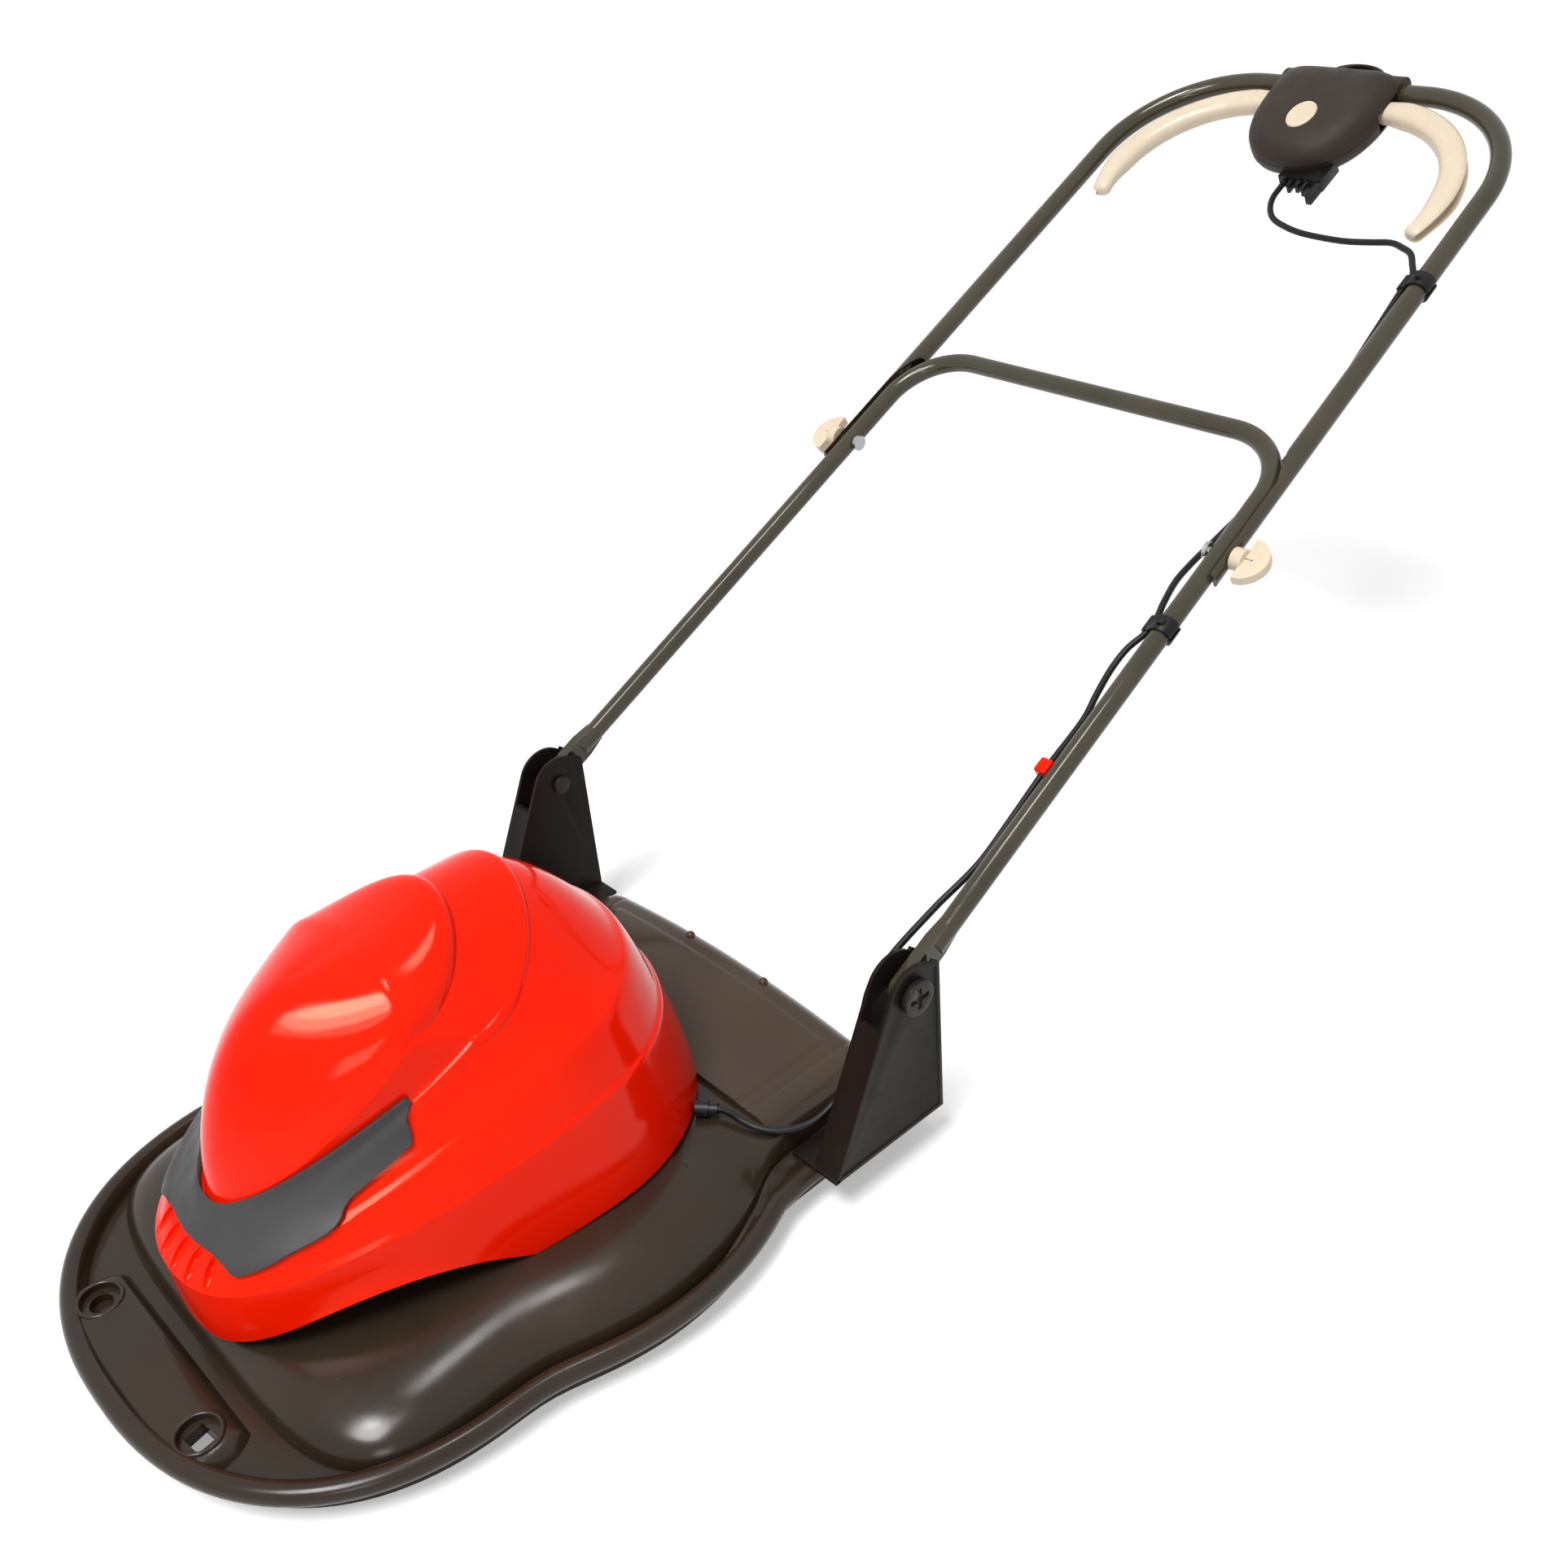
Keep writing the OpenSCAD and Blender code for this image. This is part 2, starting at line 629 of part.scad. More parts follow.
// Rotor.
shaft_low = blade_z - 2.5;
impeller_top = seat_z - 11.5;
spacer_top = blade_z + blade_t + 9;
module motor_shaft() {
    color(steel_colour) placed() difference() {
        translate([0, 0, shaft_low]) cylinder(r = shaft_r, h = case_top + bearing_w + 2 - shaft_low);
        translate([0, 0, shaft_low - 1]) cylinder(r = bolt_r + 0.02, h = 26);
    }
}

module armature() {
    r = case_r - 21 - pass_fit - 0.2;
    color(copper_colour) placed() translate([0, 0, stack_low - 2]) difference() {
        union() {
            translate([0, 0, 2]) cylinder(r = r, h = stack_h);
            translate([0, 0, -6]) cylinder(r = r - 6, h = stack_h + 16);
        }
        translate([0, 0, -7]) cylinder(r = shaft_r + 0.02, h = stack_h + 20);
        for (k = [0 : 11]) rotate(30 * k) translate([r - 2, -1, 1]) cube([4, 2, stack_h + 2]);
    }
}

module commutator() {
    color(copper_colour * 1.15) placed() translate([0, 0, brush_z - 3]) ring(comm_r, shaft_r + 0.02, 14);
}

module impeller() {
    hub_r = 18;
    disc_t = 2.5;
    color([0.2, 0.2, 0.2]) placed() difference() {
        union() {
            translate([0, 0, spacer_top]) cylinder(r = hub_r, h = impeller_top - spacer_top);
            translate([0, 0, impeller_top - disc_t]) cylinder(r = impeller_r, h = disc_t);
            for (k = [0 : vane_count - 1]) rotate(360 / vane_count * k) translate([hub_r + 4, 0, 0]) rotate(-18)
                translate([-8, -1.25, spacer_top + 2]) cube([impeller_r - hub_r - 10, 2.5, impeller_top - spacer_top - 3]);
        }
        translate([0, 0, spacer_top - 1]) cylinder(r = shaft_r + 0.02, h = 40);
    }
}

module blade_spacer() {
    color([0.3, 0.3, 0.3]) placed() translate([0, 0, blade_z + blade_t]) ring(16, shaft_r + 0.02, 9);
}

module blade() {
    end_w = blade_w - 8;
    half = blade_len / 2;
    color(steel_colour) placed() translate([0, 0, blade_z]) difference() {
        linear_extrude(blade_t) intersection() {
            polygon([[-half, -end_w / 2], [-half + 70, -blade_w / 2], [half - 70, -blade_w / 2], [half, -end_w / 2],
                [half, end_w / 2], [half - 70, blade_w / 2], [-half + 70, blade_w / 2], [-half, end_w / 2]]);
            circle(r = half);
        }
        translate([0, 0, -1]) cylinder(r = shaft_r + 0.02, h = 8);
        for (s = [0, 180]) rotate(s) translate([half - 62, -blade_w / 2, blade_t]) rotate([30, 0, 0])
            cube([70, 8, 4]);
        for (s = [-1, 1]) translate([s * 24, 0, -1]) cylinder(r = 4, h = 8);
    }
}

module blade_washer() {
    color(steel_colour) placed() translate([0, 0, shaft_low]) ring(18, shaft_r + 0.02, blade_z - shaft_low);
}

module blade_bolt() {
    color(steel_colour * 0.9) placed() translate([0, 0, shaft_low]) {
        translate([0, 0, -7]) cylinder(r = 9.5, h = 7, $fn = 6);
        translate([0, 0, -1]) cylinder(r = bolt_r, h = 24);
    }
}

// Handle tubes. A leg frame starts at the pivot and leans inwards; the bend and half the bar follow it.
module leg(x) {
    translate([x, 0, 0]) rotate([0, 0, leg_lean]) children();
}

function bend_at(bar_s, bend) = (bar_s - bend + bend * sin(leg_lean)) / cos(leg_lean);
function bar_end(x, bar_s, bend) = x - bend * cos(leg_lean) - bend_at(bar_s, bend) * sin(leg_lean);

// The tube swells a little in its bends.
bend_swell = 0.03;
module bent_bar(x, r, from, bar_s, bend) {
    straight = bend_at(bar_s, bend);
    half_bar = bar_end(x, bar_s, bend);
    for (side = [-1, 1]) sided(side) leg(x) {
        rod_y(r, from, straight + 1);
        translate([-bend, straight, 0]) rotate_extrude(angle = 90 - leg_lean) translate([bend, 0]) circle(r = r + bend_swell);
    }
    translate([0, bar_s, 0]) rod_x(r, -half_bar - 1, half_bar + 1);
}

// The straight legs are hollow.
module leg_bores(x, r, from, to) {
    for (side = [-1, 1]) sided(side) leg(x) rod_y(r - tube_wall, from, to);
}

lower_r = lower_d / 2;
upper_r = upper_d / 2;
upper_x = leg_x + leg_step;
tang_len = 46;
tang_t = 10;
tang_w = 21;
module lower_handle() {
    color(tube_colour) on_handle() difference() {
        union() {
            bent_bar(leg_x, lower_r, tang_len - 8, cross_s, cross_bend);
            for (side = [-1, 1]) sided(side) leg(leg_x) translate([-tang_t / 2, 0, 0]) rotate([90, 0, 90])
                linear_extrude(tang_t) {
                    circle(d = tang_w);
                    translate([0, -tang_w / 2]) square([tang_len - 6, tang_w]);
                    polygon([[tang_len - 6, -tang_w / 2], [tang_len + 12, -lower_r + 1], [tang_len + 12, lower_r - 1],
                        [tang_len - 6, tang_w / 2]]);
                }
        }
        leg_bores(leg_x, lower_r, tang_len + 20, bend_at(cross_s, cross_bend) - 4);
        rod_x(bolt_r + run_fit, -300, 300);
        translate([0, fold_s, 0]) rod_x(bolt_r + run_fit, -300, 300);
    }
}

// The upper legs are pressed flat against the outside of the lower legs round the fold bolts.
press_end = 74;
press_run = 45;
module upper_handle() {
    flat = lower_r + pass_fit - leg_step;
    color(tube_colour * 1.03) on_handle() difference() {
        bent_bar(upper_x, upper_r, fold_s - 25, top_s, top_bend);
        leg_bores(upper_x, upper_r, fold_s + press_end + 10, bend_at(top_s, top_bend) - 4);
        for (side = [-1, 1]) sided(side) leg(upper_x) translate([0, fold_s, -upper_r - 1]) linear_extrude(upper_d + 2)
            polygon([[flat, -30], [flat, press_end], [-upper_r - 1, press_end + press_run], [-upper_r - 1, -30]]);
        translate([0, fold_s, 0]) rod_x(bolt_r + run_fit, -300, 300);
    }
}

fold_x = leg_x - fold_s * tan(leg_lean);
fold_out = fold_x + leg_step + upper_r;
knob_len = 30;
module fold_bolt(side) {
    head = fold_x - lower_r - 4.4;
    color(steel_colour) on_handle() sided(side) translate([0, fold_s, 0]) {
        rod_x(bolt_r, head, fold_out + 16);
        rod_x(7, head, head + 3.5);
    }
}

module fold_bolt_left() {
    fold_bolt(-1);
}

module fold_bolt_right() {
    fold_bolt(1);
}

module wing_knob(side) {
    wing_r = 20;
    wing_t = 8;
    foot = fold_out + pass_fit;
    color(cream_colour) on_handle() sided(side) translate([0, fold_s, 0]) difference() {
        union() {
            rod_x(9.5, foot, foot + 10);
            translate([foot + 9, 0, -wing_t / 2]) linear_extrude(wing_t) intersection() {
                circle(r = wing_r);
                translate([0, -wing_r]) square([wing_r, 2 * wing_r]);
            }
        }
        rod_x(bolt_r + run_fit, foot - 1, fold_out + 17);
    }
}

module wing_knob_left() {
    wing_knob(-1);
}

module wing_knob_right() {
    wing_knob(1);
}

// Cable clips: a split collar on the tube, an eye for the lead and a stud.
lead_gap = 0.15;
module cable_clip(x, r, s, len) {
    eye = r + lead_d / 2 + 1.2;
    on_handle() leg(x) translate([0, s, 0]) difference() {
        union() {
            rod_y(r + 2.2, -len / 2, len / 2);
            translate([-eye, 0, 0]) rod_y(lead_d / 2 + 1.8, -len / 2, len / 2);
            translate([0, 0, r]) cylinder(r = 3.6, h = 6);
        }
        rod_y(r + run_fit, -len, len);
        translate([-eye, 0, 0]) rod_y(lead_d / 2 + lead_gap, -len, len);
        translate([r, -len, -1.5]) cube([6, 2 * len, 3]);
    }
}

clip_upper_s = 729;
clip_lower_s = 346;
clip_small_s = 200;
module cable_clip_upper() {
    color(trim_colour) cable_clip(upper_x, upper_r, clip_upper_s, 14);
}

module cable_clip_lower() {
    color(trim_colour) cable_clip(leg_x, lower_r, clip_lower_s, 14);
}

module cable_clip_small() {
    color(hood_colour) cable_clip(leg_x, lower_r, clip_small_s, 9);
}

// Switch box, drawn in the handle frame round the top bar.
box_s = top_s - 50;
cover_crown_r = 160;
floor_r = 260;
lever_pivot = [38, top_s - 26];
button_s = box_s - 20;
post_r = 4;
module box_outline(in) {
    translate([0, box_s]) circle(r = box_r - in);
    translate([-box_half + in, box_s]) square([2 * box_half - 2 * in, box_back - box_s - in]);
}

module cover_solid(in) {
    intersection() {
        linear_extrude(cover_h + 5) box_outline(in);
        translate([0, box_s + 4, cover_h - cover_crown_r]) sphere(r = cover_crown_r - in, $fn = 64);
    }
}

module base_solid(in) {
    intersection() {
        translate([0, 0, -base_h - 5]) linear_extrude(base_h + 5) box_outline(in);
        translate([0, box_s + 4, floor_r - base_h]) sphere(r = floor_r - in, $fn = 64);
    }
}

module lever_windows() {
    for (s = [-1, 1]) translate([s * box_half, lever_pivot[1], 0]) cube([40, lever_w + 9, lever_t + 2.4], center = true);
}

module switch_cover() {
    color(deck_colour * 0.9) on_handle() difference() {
        translate([0, 0, seat_fit / 2]) cover_solid(0);
        translate([0, 0, -0.01]) cover_solid(box_wall);
        translate([0, top_s, 0]) rod_x(upper_r + seat_fit / 2, -100, 100);
        translate([0, button_s, 0]) linear_extrude(cover_h + 10) slot(button_w + 2 * pass_fit, button_len + 2 * pass_fit);
        lever_windows();
    }
}

module switch_base() {
    color(deck_colour * 0.85) on_handle() difference() {
        union() {
            difference() {
                translate([0, 0, -seat_fit / 2]) base_solid(0);
                translate([0, 0, 0.01]) base_solid(box_wall);
                lever_windows();
            }
            for (s = [-1, 1]) translate([s * lever_pivot[0], lever_pivot[1], -base_h + 3]) cylinder(r = post_r, h = base_h + 4);
            translate([-16, box_s - 16, -base_h + 3]) cube([32, 16, 4]);
        }
        translate([0, top_s, 0]) rod_x(upper_r + seat_fit / 2, -100, 100);
    }
}

module cable_hook() {
    color(black_colour) on_handle() translate([0, box_back + 0.05, hook_n]) difference() {
        rotate_extrude(angle = 180) translate([hook_r, 0]) circle(r = hook_tube);
        translate([-50, -20, -10]) cube([100, 20, 20]);
    }
}

restraint_s = box_s - box_r - 18;
inlet_r = 4.2;
inlet_x = 30;
module cable_restraint() {
    color(black_colour) on_handle() difference() {
        union() {
            translate([-12, restraint_s, -17]) cube([66, 40, 12]);
            for (x = [-8, 50]) translate([x, 0, -9]) rod_y(3.2, restraint_s - 20, restraint_s + 4);
        }
        translate([0, 0, -30]) linear_extrude(60) translate([0, box_s]) circle(r = box_r + seat_fit / 2);
        translate([inlet_x, restraint_s + 9, -18]) cylinder(r = inlet_r, h = 11);
        translate([lead_start[0], 0, lead_start[2]]) rod_y(lead_d / 2 + lead_gap, restraint_s - 1, restraint_s + 8);
    }
}

module microswitch() {
    color([0.12, 0.12, 0.13]) on_handle() translate([-14, box_s - 15, -base_h + 7]) {
        cube([28, 14, 14]);
        translate([11, 4, 14]) cube([6, 6, 2]);
    }
}

module lever(side) {
    in_r = lever_r - lever_w / 2;
    centre = [lever_pivot[0] + 20, lever_pivot[1] - lever_r];
    tip = -16;
    color(cream_colour) on_handle() sided(side) difference() {
        union() {
            translate([lever_pivot[0], lever_pivot[1], -6]) cylinder(r = 9, h = 12);
            translate([lever_pivot[0], lever_pivot[1] - 7, -6]) cube([21, 14, 12]);
            translate([centre[0], centre[1], 0]) rotate(tip) {
                rotate_extrude(angle = 90 - tip) translate([in_r, -lever_t / 2]) square([lever_w, lever_t]);
                translate([lever_r, 0, -lever_t / 2]) cylinder(r = lever_w / 2, h = lever_t);
            }
        }
        translate([lever_pivot[0], lever_pivot[1], -10]) cylinder(r = post_r + run_fit, h = 20);
        translate([centre[0], centre[1], 0]) rotate(tip + 6) rotate_extrude(angle = 84)
            translate([lever_r - 2, -lever_t / 2 + 3]) square([lever_w, lever_t - 6]);
    }
}

module lever_left() {
    lever(-1);
}

module lever_right() {
    lever(1);
}

module lock_button() {
    flange_z = cover_h - box_wall - 6.5;
    color(cream_colour) on_handle() translate([0, button_s, 0]) {
        translate([0, 0, flange_z - 8]) linear_extrude(cover_h + 2.5 - flange_z + 8) slot(button_w, button_len);
        translate([0, 0, flange_z - 2]) linear_extrude(2) slot(button_w + 5, button_len + 5);
    }
}

// Switch lead: a tube swept along hand-placed points.
lead_sides = 8;
function unit(v) = v / norm(v);
function along(pts, i) = let (n = len(pts) - 1) unit(pts[min(n, i + 1)] - pts[max(0, i - 1)]);
function tube_ring(p, d, r) = let (u = unit(cross(d, abs(d[2]) > 0.9 ? [1, 0, 0] : [0, 0, 1])), v = cross(d, u))
    [for (k = [0 : lead_sides - 1]) p + r * (cos(360 * k / lead_sides) * u + sin(360 * k / lead_sides) * v)];
module lead(pts) {
    skin([for (i = [0 : len(pts) - 1]) tube_ring(pts[i], along(pts, i), lead_d / 2)]);
}

// Points in the handle frame for the two upper stretches, and in the ground frame for the deck.
lead_start = [8, 826, -11];
function leg_line(x, s) = x - s * tan(leg_lean);
function upper_in(s) = leg_line(upper_x, s) - upper_r - lead_d / 2 - 1.2;
function lower_in(s) = leg_line(leg_x, s) - lower_r - lead_d / 2 - 1.2;
lead_upper_pts = [lead_start, [8, 814, -11], [12, 802, -11], [22, 791, -11], [38, 783, -10], [58, 777, -9],
    [82, 774, -8], [106, 773, -7], [128, 775, -6], [148, 776, -4], [162, 771, -3], [173, 764, -1], [181.5, 752, 0],
    [upper_in(clip_upper_s + 10), clip_upper_s + 10, 0], [upper_in(clip_upper_s - 9), clip_upper_s - 9, 0],
    [upper_in(700), 700, -2], [upper_in(660), 660, -6], [upper_in(620), 620, -10], [upper_in(590), 590, -12.5]];
lead_lower_pts = [[upper_in(584), 584, -12.5], [upper_in(560), 560, -13], [upper_in(540), 540, -13], [lower_in(500), 500, -13],
    [lower_in(470), 470, -12.5], [lower_in(440), 440, -12], [lower_in(420), 420, -11], [lower_in(395), 395, -6],
    [lower_in(370), 370, -1], [lower_in(354), 354, 0], [lower_in(338), 338, 0], [lower_in(300), 300, -3],
    [lower_in(250), 250, -3], [lower_in(206), 206, 0], [lower_in(194), 194, 0], [lower_in(150), 150, -2],
    [lower_in(110), 110, -2], [192, 70, -2], [189, 40, -1], [188, 20, 0], [188, 4, 0]];
lead_deck_pts = [[188, pivot_reach - 5, 152], [188, pivot_reach - 12, 142], [189, pivot_reach - 20, 122],
    [191, pivot_reach - 30, 100], [191, pivot_reach - 40, 80], [188, pivot_reach - 52, 68],
    [182, pivot_reach - 68, 64], [172, pivot_reach - 84, 62.5], [160, 132, 63], [148, 125, 63], [139, 120, 63],
    gland_at + 14 * [cos(gland_dir), sin(gland_dir), 0], gland_at - 4 * [cos(gland_dir), sin(gland_dir), 0]];

module lead_upper() {
    color(black_colour) on_handle() lead(lead_upper_pts);
}

module lead_lower() {
    color(black_colour) on_handle() lead(lead_lower_pts);
}

module lead_deck() {
    color(black_colour) placed() lead(lead_deck_pts);
}

deck_shell();
rear_cover();
bracket_left();
bracket_right();
pivot_bolt_left();
pivot_bolt_right();
motor_hood();
hood_visor();
motor_case();
motor_cap();
field_stack();
bearing_upper();
bearing_lower();
brush_left();
brush_right();
terminal_block();
lead_gland();
motor_shaft();
armature();
commutator();
impeller();
blade_spacer();
blade();
blade_washer();
blade_bolt();
lower_handle();
fold_bolt_left();
fold_bolt_right();
cable_clip_lower();
cable_clip_small();
upper_handle();
switch_cover();
switch_base();
cable_hook();
cable_restraint();
microswitch();
cable_clip_upper();
wing_knob_left();
wing_knob_right();
lever_left();
lever_right();
lock_button();
lead_upper();
lead_lower();
lead_deck();
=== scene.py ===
# %% [markdown]
# # A hover mower, dressed on its frame
# The mower has a boat-shaped deck, a tiered motor hood, two handle brackets and a folding tube handle. The
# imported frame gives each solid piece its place, so every new piece is made where its solid already is.
# Sizes below are millimetres from the motor's axis, because that is how a mower drawing is dimensioned.

# %% Load the frame
import json
import math
import bmesh
import bpy
from mathutils import Matrix, Vector


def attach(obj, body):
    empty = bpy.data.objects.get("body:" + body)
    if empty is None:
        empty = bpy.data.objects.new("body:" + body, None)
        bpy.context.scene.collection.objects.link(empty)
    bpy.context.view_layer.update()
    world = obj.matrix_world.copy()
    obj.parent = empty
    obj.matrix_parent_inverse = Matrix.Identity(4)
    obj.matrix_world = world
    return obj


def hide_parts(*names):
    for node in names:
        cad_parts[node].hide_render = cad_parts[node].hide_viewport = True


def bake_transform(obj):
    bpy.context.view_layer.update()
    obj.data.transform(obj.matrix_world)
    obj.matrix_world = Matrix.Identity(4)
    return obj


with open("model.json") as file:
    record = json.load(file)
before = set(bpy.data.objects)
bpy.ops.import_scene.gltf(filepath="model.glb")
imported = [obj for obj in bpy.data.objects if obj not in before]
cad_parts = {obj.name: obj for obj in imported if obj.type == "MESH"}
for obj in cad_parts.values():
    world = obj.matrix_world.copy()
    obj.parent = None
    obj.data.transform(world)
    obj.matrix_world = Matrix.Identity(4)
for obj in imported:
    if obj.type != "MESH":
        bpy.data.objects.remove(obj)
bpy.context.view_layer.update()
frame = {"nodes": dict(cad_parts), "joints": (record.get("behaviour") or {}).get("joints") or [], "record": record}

joint_at = {j["name"]: Vector(j["pos_m"]) for j in frame["joints"]}
motor_y = joint_at["blade_spin"].y

# %% [markdown]
# ## Places
# The deck and hood are drawn about the motor's axis. The handle has a frame of its own: across, along the
# handle from its pivot, and square to the handle's plane. Each point could be worked out in metres by
# hand, but two short functions do that and leave the drawing's own numbers readable.

# %% Places on the deck and on the handle
handle_lean = math.radians(27.8)
leg_x, pivot_y, pivot_z = 213, 226, 156


def on_deck(x, y, z):
    return Vector((x / 1000, y / 1000 + motor_y, z / 1000))


def on_handle(x, along, up):
    y = pivot_y + along * math.cos(handle_lean) - up * math.sin(handle_lean)
    z = pivot_z + along * math.sin(handle_lean) + up * math.cos(handle_lean)
    return on_deck(x, y, z)


print("right pivot at", tuple(round(c, 4) for c in on_deck(leg_x, pivot_y, pivot_z)))

# %% [markdown]
# ## Camera
# The camera stands to the right of the nose, about 0.9 m up. It could be turned by eye, but its place,
# axes and lens were solved from points of the mower that can be told apart in the picture. Written as
# three axes, its turn needs no angles, and the framing needs no shift.

# %% Camera
bpy.ops.object.select_all(action="DESELECT")
bpy.ops.object.camera_add()
camera = bpy.context.object
camera.name = "photo_camera"
camera.data.lens = 37.383
camera.data.sensor_width = 36
camera.data.clip_start = 0.05
right = Vector((0.67914, 0.73043, -0.07241))
down = Vector((0.35271, -0.41126, -0.84051))
ahead = Vector((-0.64371, 0.54528, -0.53693))
turn = Matrix((right, -down, -ahead)).transposed().to_4x4()
camera.matrix_world = Matrix.Translation(on_deck(852.5, -410.0, 909.4)) @ turn
bpy.context.scene.camera = camera
print("camera at", tuple(round(c, 3) for c in camera.location))

# %% [markdown]
# ## Colours
# Colours are easiest to judge as a screen's values from 0 to 255, but a shader adds up light in linear
# values. A function converts them, so the screen's values stay in sight.

# %% Screen colours
def linear(c):
    if c < 10:
        return c / 255 / 12.92
    return ((c / 255 + 0.055) / 1.055) ** 2.4


def tint(r, g, b):
    return (linear(r), linear(g), linear(b), 1)


print("mid grey is", round(linear(128), 3), "in linear light")

# %% [markdown]
# ## Finishes
# Nearly everything here is moulded plastic, paint or metal. One flat colour would look like a toy, and a
# picture of plastic would need a file. So each finish has three layers of noise on object coordinates: a
# broad cloud that shifts the colour, a patchy wear that changes the gloss, and a fine grain for the bump.

# %% Three layers of noise
noise_detail = {"cloud": 3, "wear": 5, "grain": 2}


def noise_layers(nodes, links, stretch, scales):
    place = nodes.new("ShaderNodeTexCoord")
    slide = nodes.new("ShaderNodeMapping")
    slide.inputs["Scale"].default_value = stretch
    links.new(place.outputs["Object"], slide.inputs["Vector"])
    layers = []
    for (label, detail), scale in zip(noise_detail.items(), scales):
        noise = nodes.new("ShaderNodeTexNoise")
        noise.label = label
        noise.inputs["Scale"].default_value = scale
        noise.inputs["Detail"].default_value = detail
        links.new(slide.outputs["Vector"], noise.inputs["Vector"])
        layers.append(noise.outputs["Fac"])
    return layers


print("noise layers:", ", ".join(noise_detail))

# %% [markdown]
# The helper joins the layers to one shader. What is the same all over a surface, such as its gleam, is set
# on the shader's own sockets, because an export drops such a value when a node gives it.

# %% One finish
grain_depth = 0.0004


def finish(name, deep, pale, rough, cloud=9, wear=60, grain=1500, bump=0.06, metal=0.0, gleam=0.5,
           stretch=(1, 1, 1), shine=(1, 1, 1, 1)):
    paint = bpy.data.materials.new(name)
    paint.use_nodes = True
    nodes, links = paint.node_tree.nodes, paint.node_tree.links
    shader = nodes["Principled BSDF"]
    shader.inputs["Metallic"].default_value = metal
    shader.inputs["Specular IOR Level"].default_value = gleam
    shader.inputs["Specular Tint"].default_value = shine
    cloudy, worn, grainy = noise_layers(nodes, links, stretch, (cloud, wear, grain))
    shades = nodes.new("ShaderNodeValToRGB")
    for stop, at, colour in zip(shades.color_ramp.elements, (0.3, 0.7), (deep, pale)):
        stop.position = at
        stop.color = tint(*colour)
    links.new(cloudy, shades.inputs["Fac"])
    links.new(shades.outputs["Color"], shader.inputs["Base Color"])
    gloss = nodes.new("ShaderNodeMapRange")
    for socket, value in zip(("From Min", "From Max", "To Min", "To Max"), (0.35, 0.7, *rough)):
        gloss.inputs[socket].default_value = value
    links.new(worn, gloss.inputs["Value"])
    links.new(gloss.outputs["Result"], shader.inputs["Roughness"])
    relief = nodes.new("ShaderNodeBump")
    relief.inputs["Strength"].default_value = bump
    relief.inputs["Distance"].default_value = grain_depth
    links.new(grainy, relief.inputs["Height"])
    links.new(relief.outputs["Normal"], shader.inputs["Normal"])
    return paint


print("bump reads a grain", grain_depth * 1000, "mm deep")

# %% [markdown]
# The deck is a glossy brown-black, the brackets are duller, and the hood is a high gloss red with warm
# highlights. Each line gives the darker and the paler shade, then the range of roughness.

# %% Finishes of the deck and hood
deck_plastic = finish("deck_plastic", (44, 35, 26), (53, 43, 33), (0.16, 0.28),
                      cloud=6, wear=26, bump=0.03, gleam=0.28)
panel_plastic = finish("panel_plastic", (62, 51, 41), (74, 61, 49), (0.12, 0.22),
                       cloud=8, wear=30, bump=0.03, gleam=0.22)
bracket_plastic = finish("bracket_plastic", (24, 19, 16), (32, 26, 22), (0.34, 0.48),
                         cloud=10, bump=0.08, gleam=0.1)
hood_plastic = finish("hood_plastic", (249, 19, 0), (255, 31, 0), (0.08, 0.15),
                      cloud=5, wear=22, grain=400, bump=0.012, gleam=0.17, shine=(1, 0.74, 0.5, 1))
visor_plastic = finish("visor_plastic", (57, 57, 58), (66, 66, 66), (0.40, 0.56),
                       cloud=10, bump=0.14, gleam=0.25)
bolt_paint = finish("bolt_paint", (32, 28, 25), (42, 37, 33), (0.24, 0.4), cloud=40, bump=0.06, gleam=0.2)
print("finishes so far:", len(bpy.data.materials))

# %% [markdown]
# The handle is a tube with olive-brown paint. Its switch box is matt and grainy, the levers and knobs are
# a smooth cream, and the lead is rubber. Bare metal is inside the motor and on the fold bolts.

# %% Finishes of the handle, the lead and the metal
tube_paint = finish("tube_paint", (58, 53, 38), (70, 64, 47), (0.07, 0.16), cloud=12, bump=0.02, gleam=0.42)
box_plastic = finish("box_plastic", (45, 37, 31), (55, 46, 39), (0.46, 0.62),
                     cloud=16, grain=1800, bump=0.22, gleam=0.2)
cream_plastic = finish("cream_plastic", (224, 207, 181), (231, 215, 190), (0.20, 0.36),
                       cloud=18, bump=0.04, gleam=0.4)
black_plastic = finish("black_plastic", (11, 10, 10), (18, 17, 16), (0.34, 0.5),
                       cloud=20, bump=0.10, gleam=0.25)
lead_rubber = finish("lead_rubber", (12, 12, 12), (20, 19, 19), (0.36, 0.52),
                     cloud=30, bump=0.08, gleam=0.25)
bright_steel = finish("bright_steel", (160, 161, 163), (188, 189, 190), (0.22, 0.40),
                      metal=1, stretch=(1, 8, 1), bump=0.05)
cast_alloy = finish("cast_alloy", (150, 150, 148), (176, 176, 174), (0.38, 0.55),
                    metal=1, grain=900, bump=0.18)
copper_wire = finish("copper_wire", (176, 98, 48), (206, 128, 72), (0.25, 0.42), metal=1, bump=0.06)
print("finishes:", len(bpy.data.materials))

# %% [markdown]
# ## Finishes for the solids that stay
# A solid whose shape is already right, such as a tube or the motor's case, keeps its mesh. It could be
# made again, but then two shapes would have to agree. It only takes a finish, by its slot in the record.

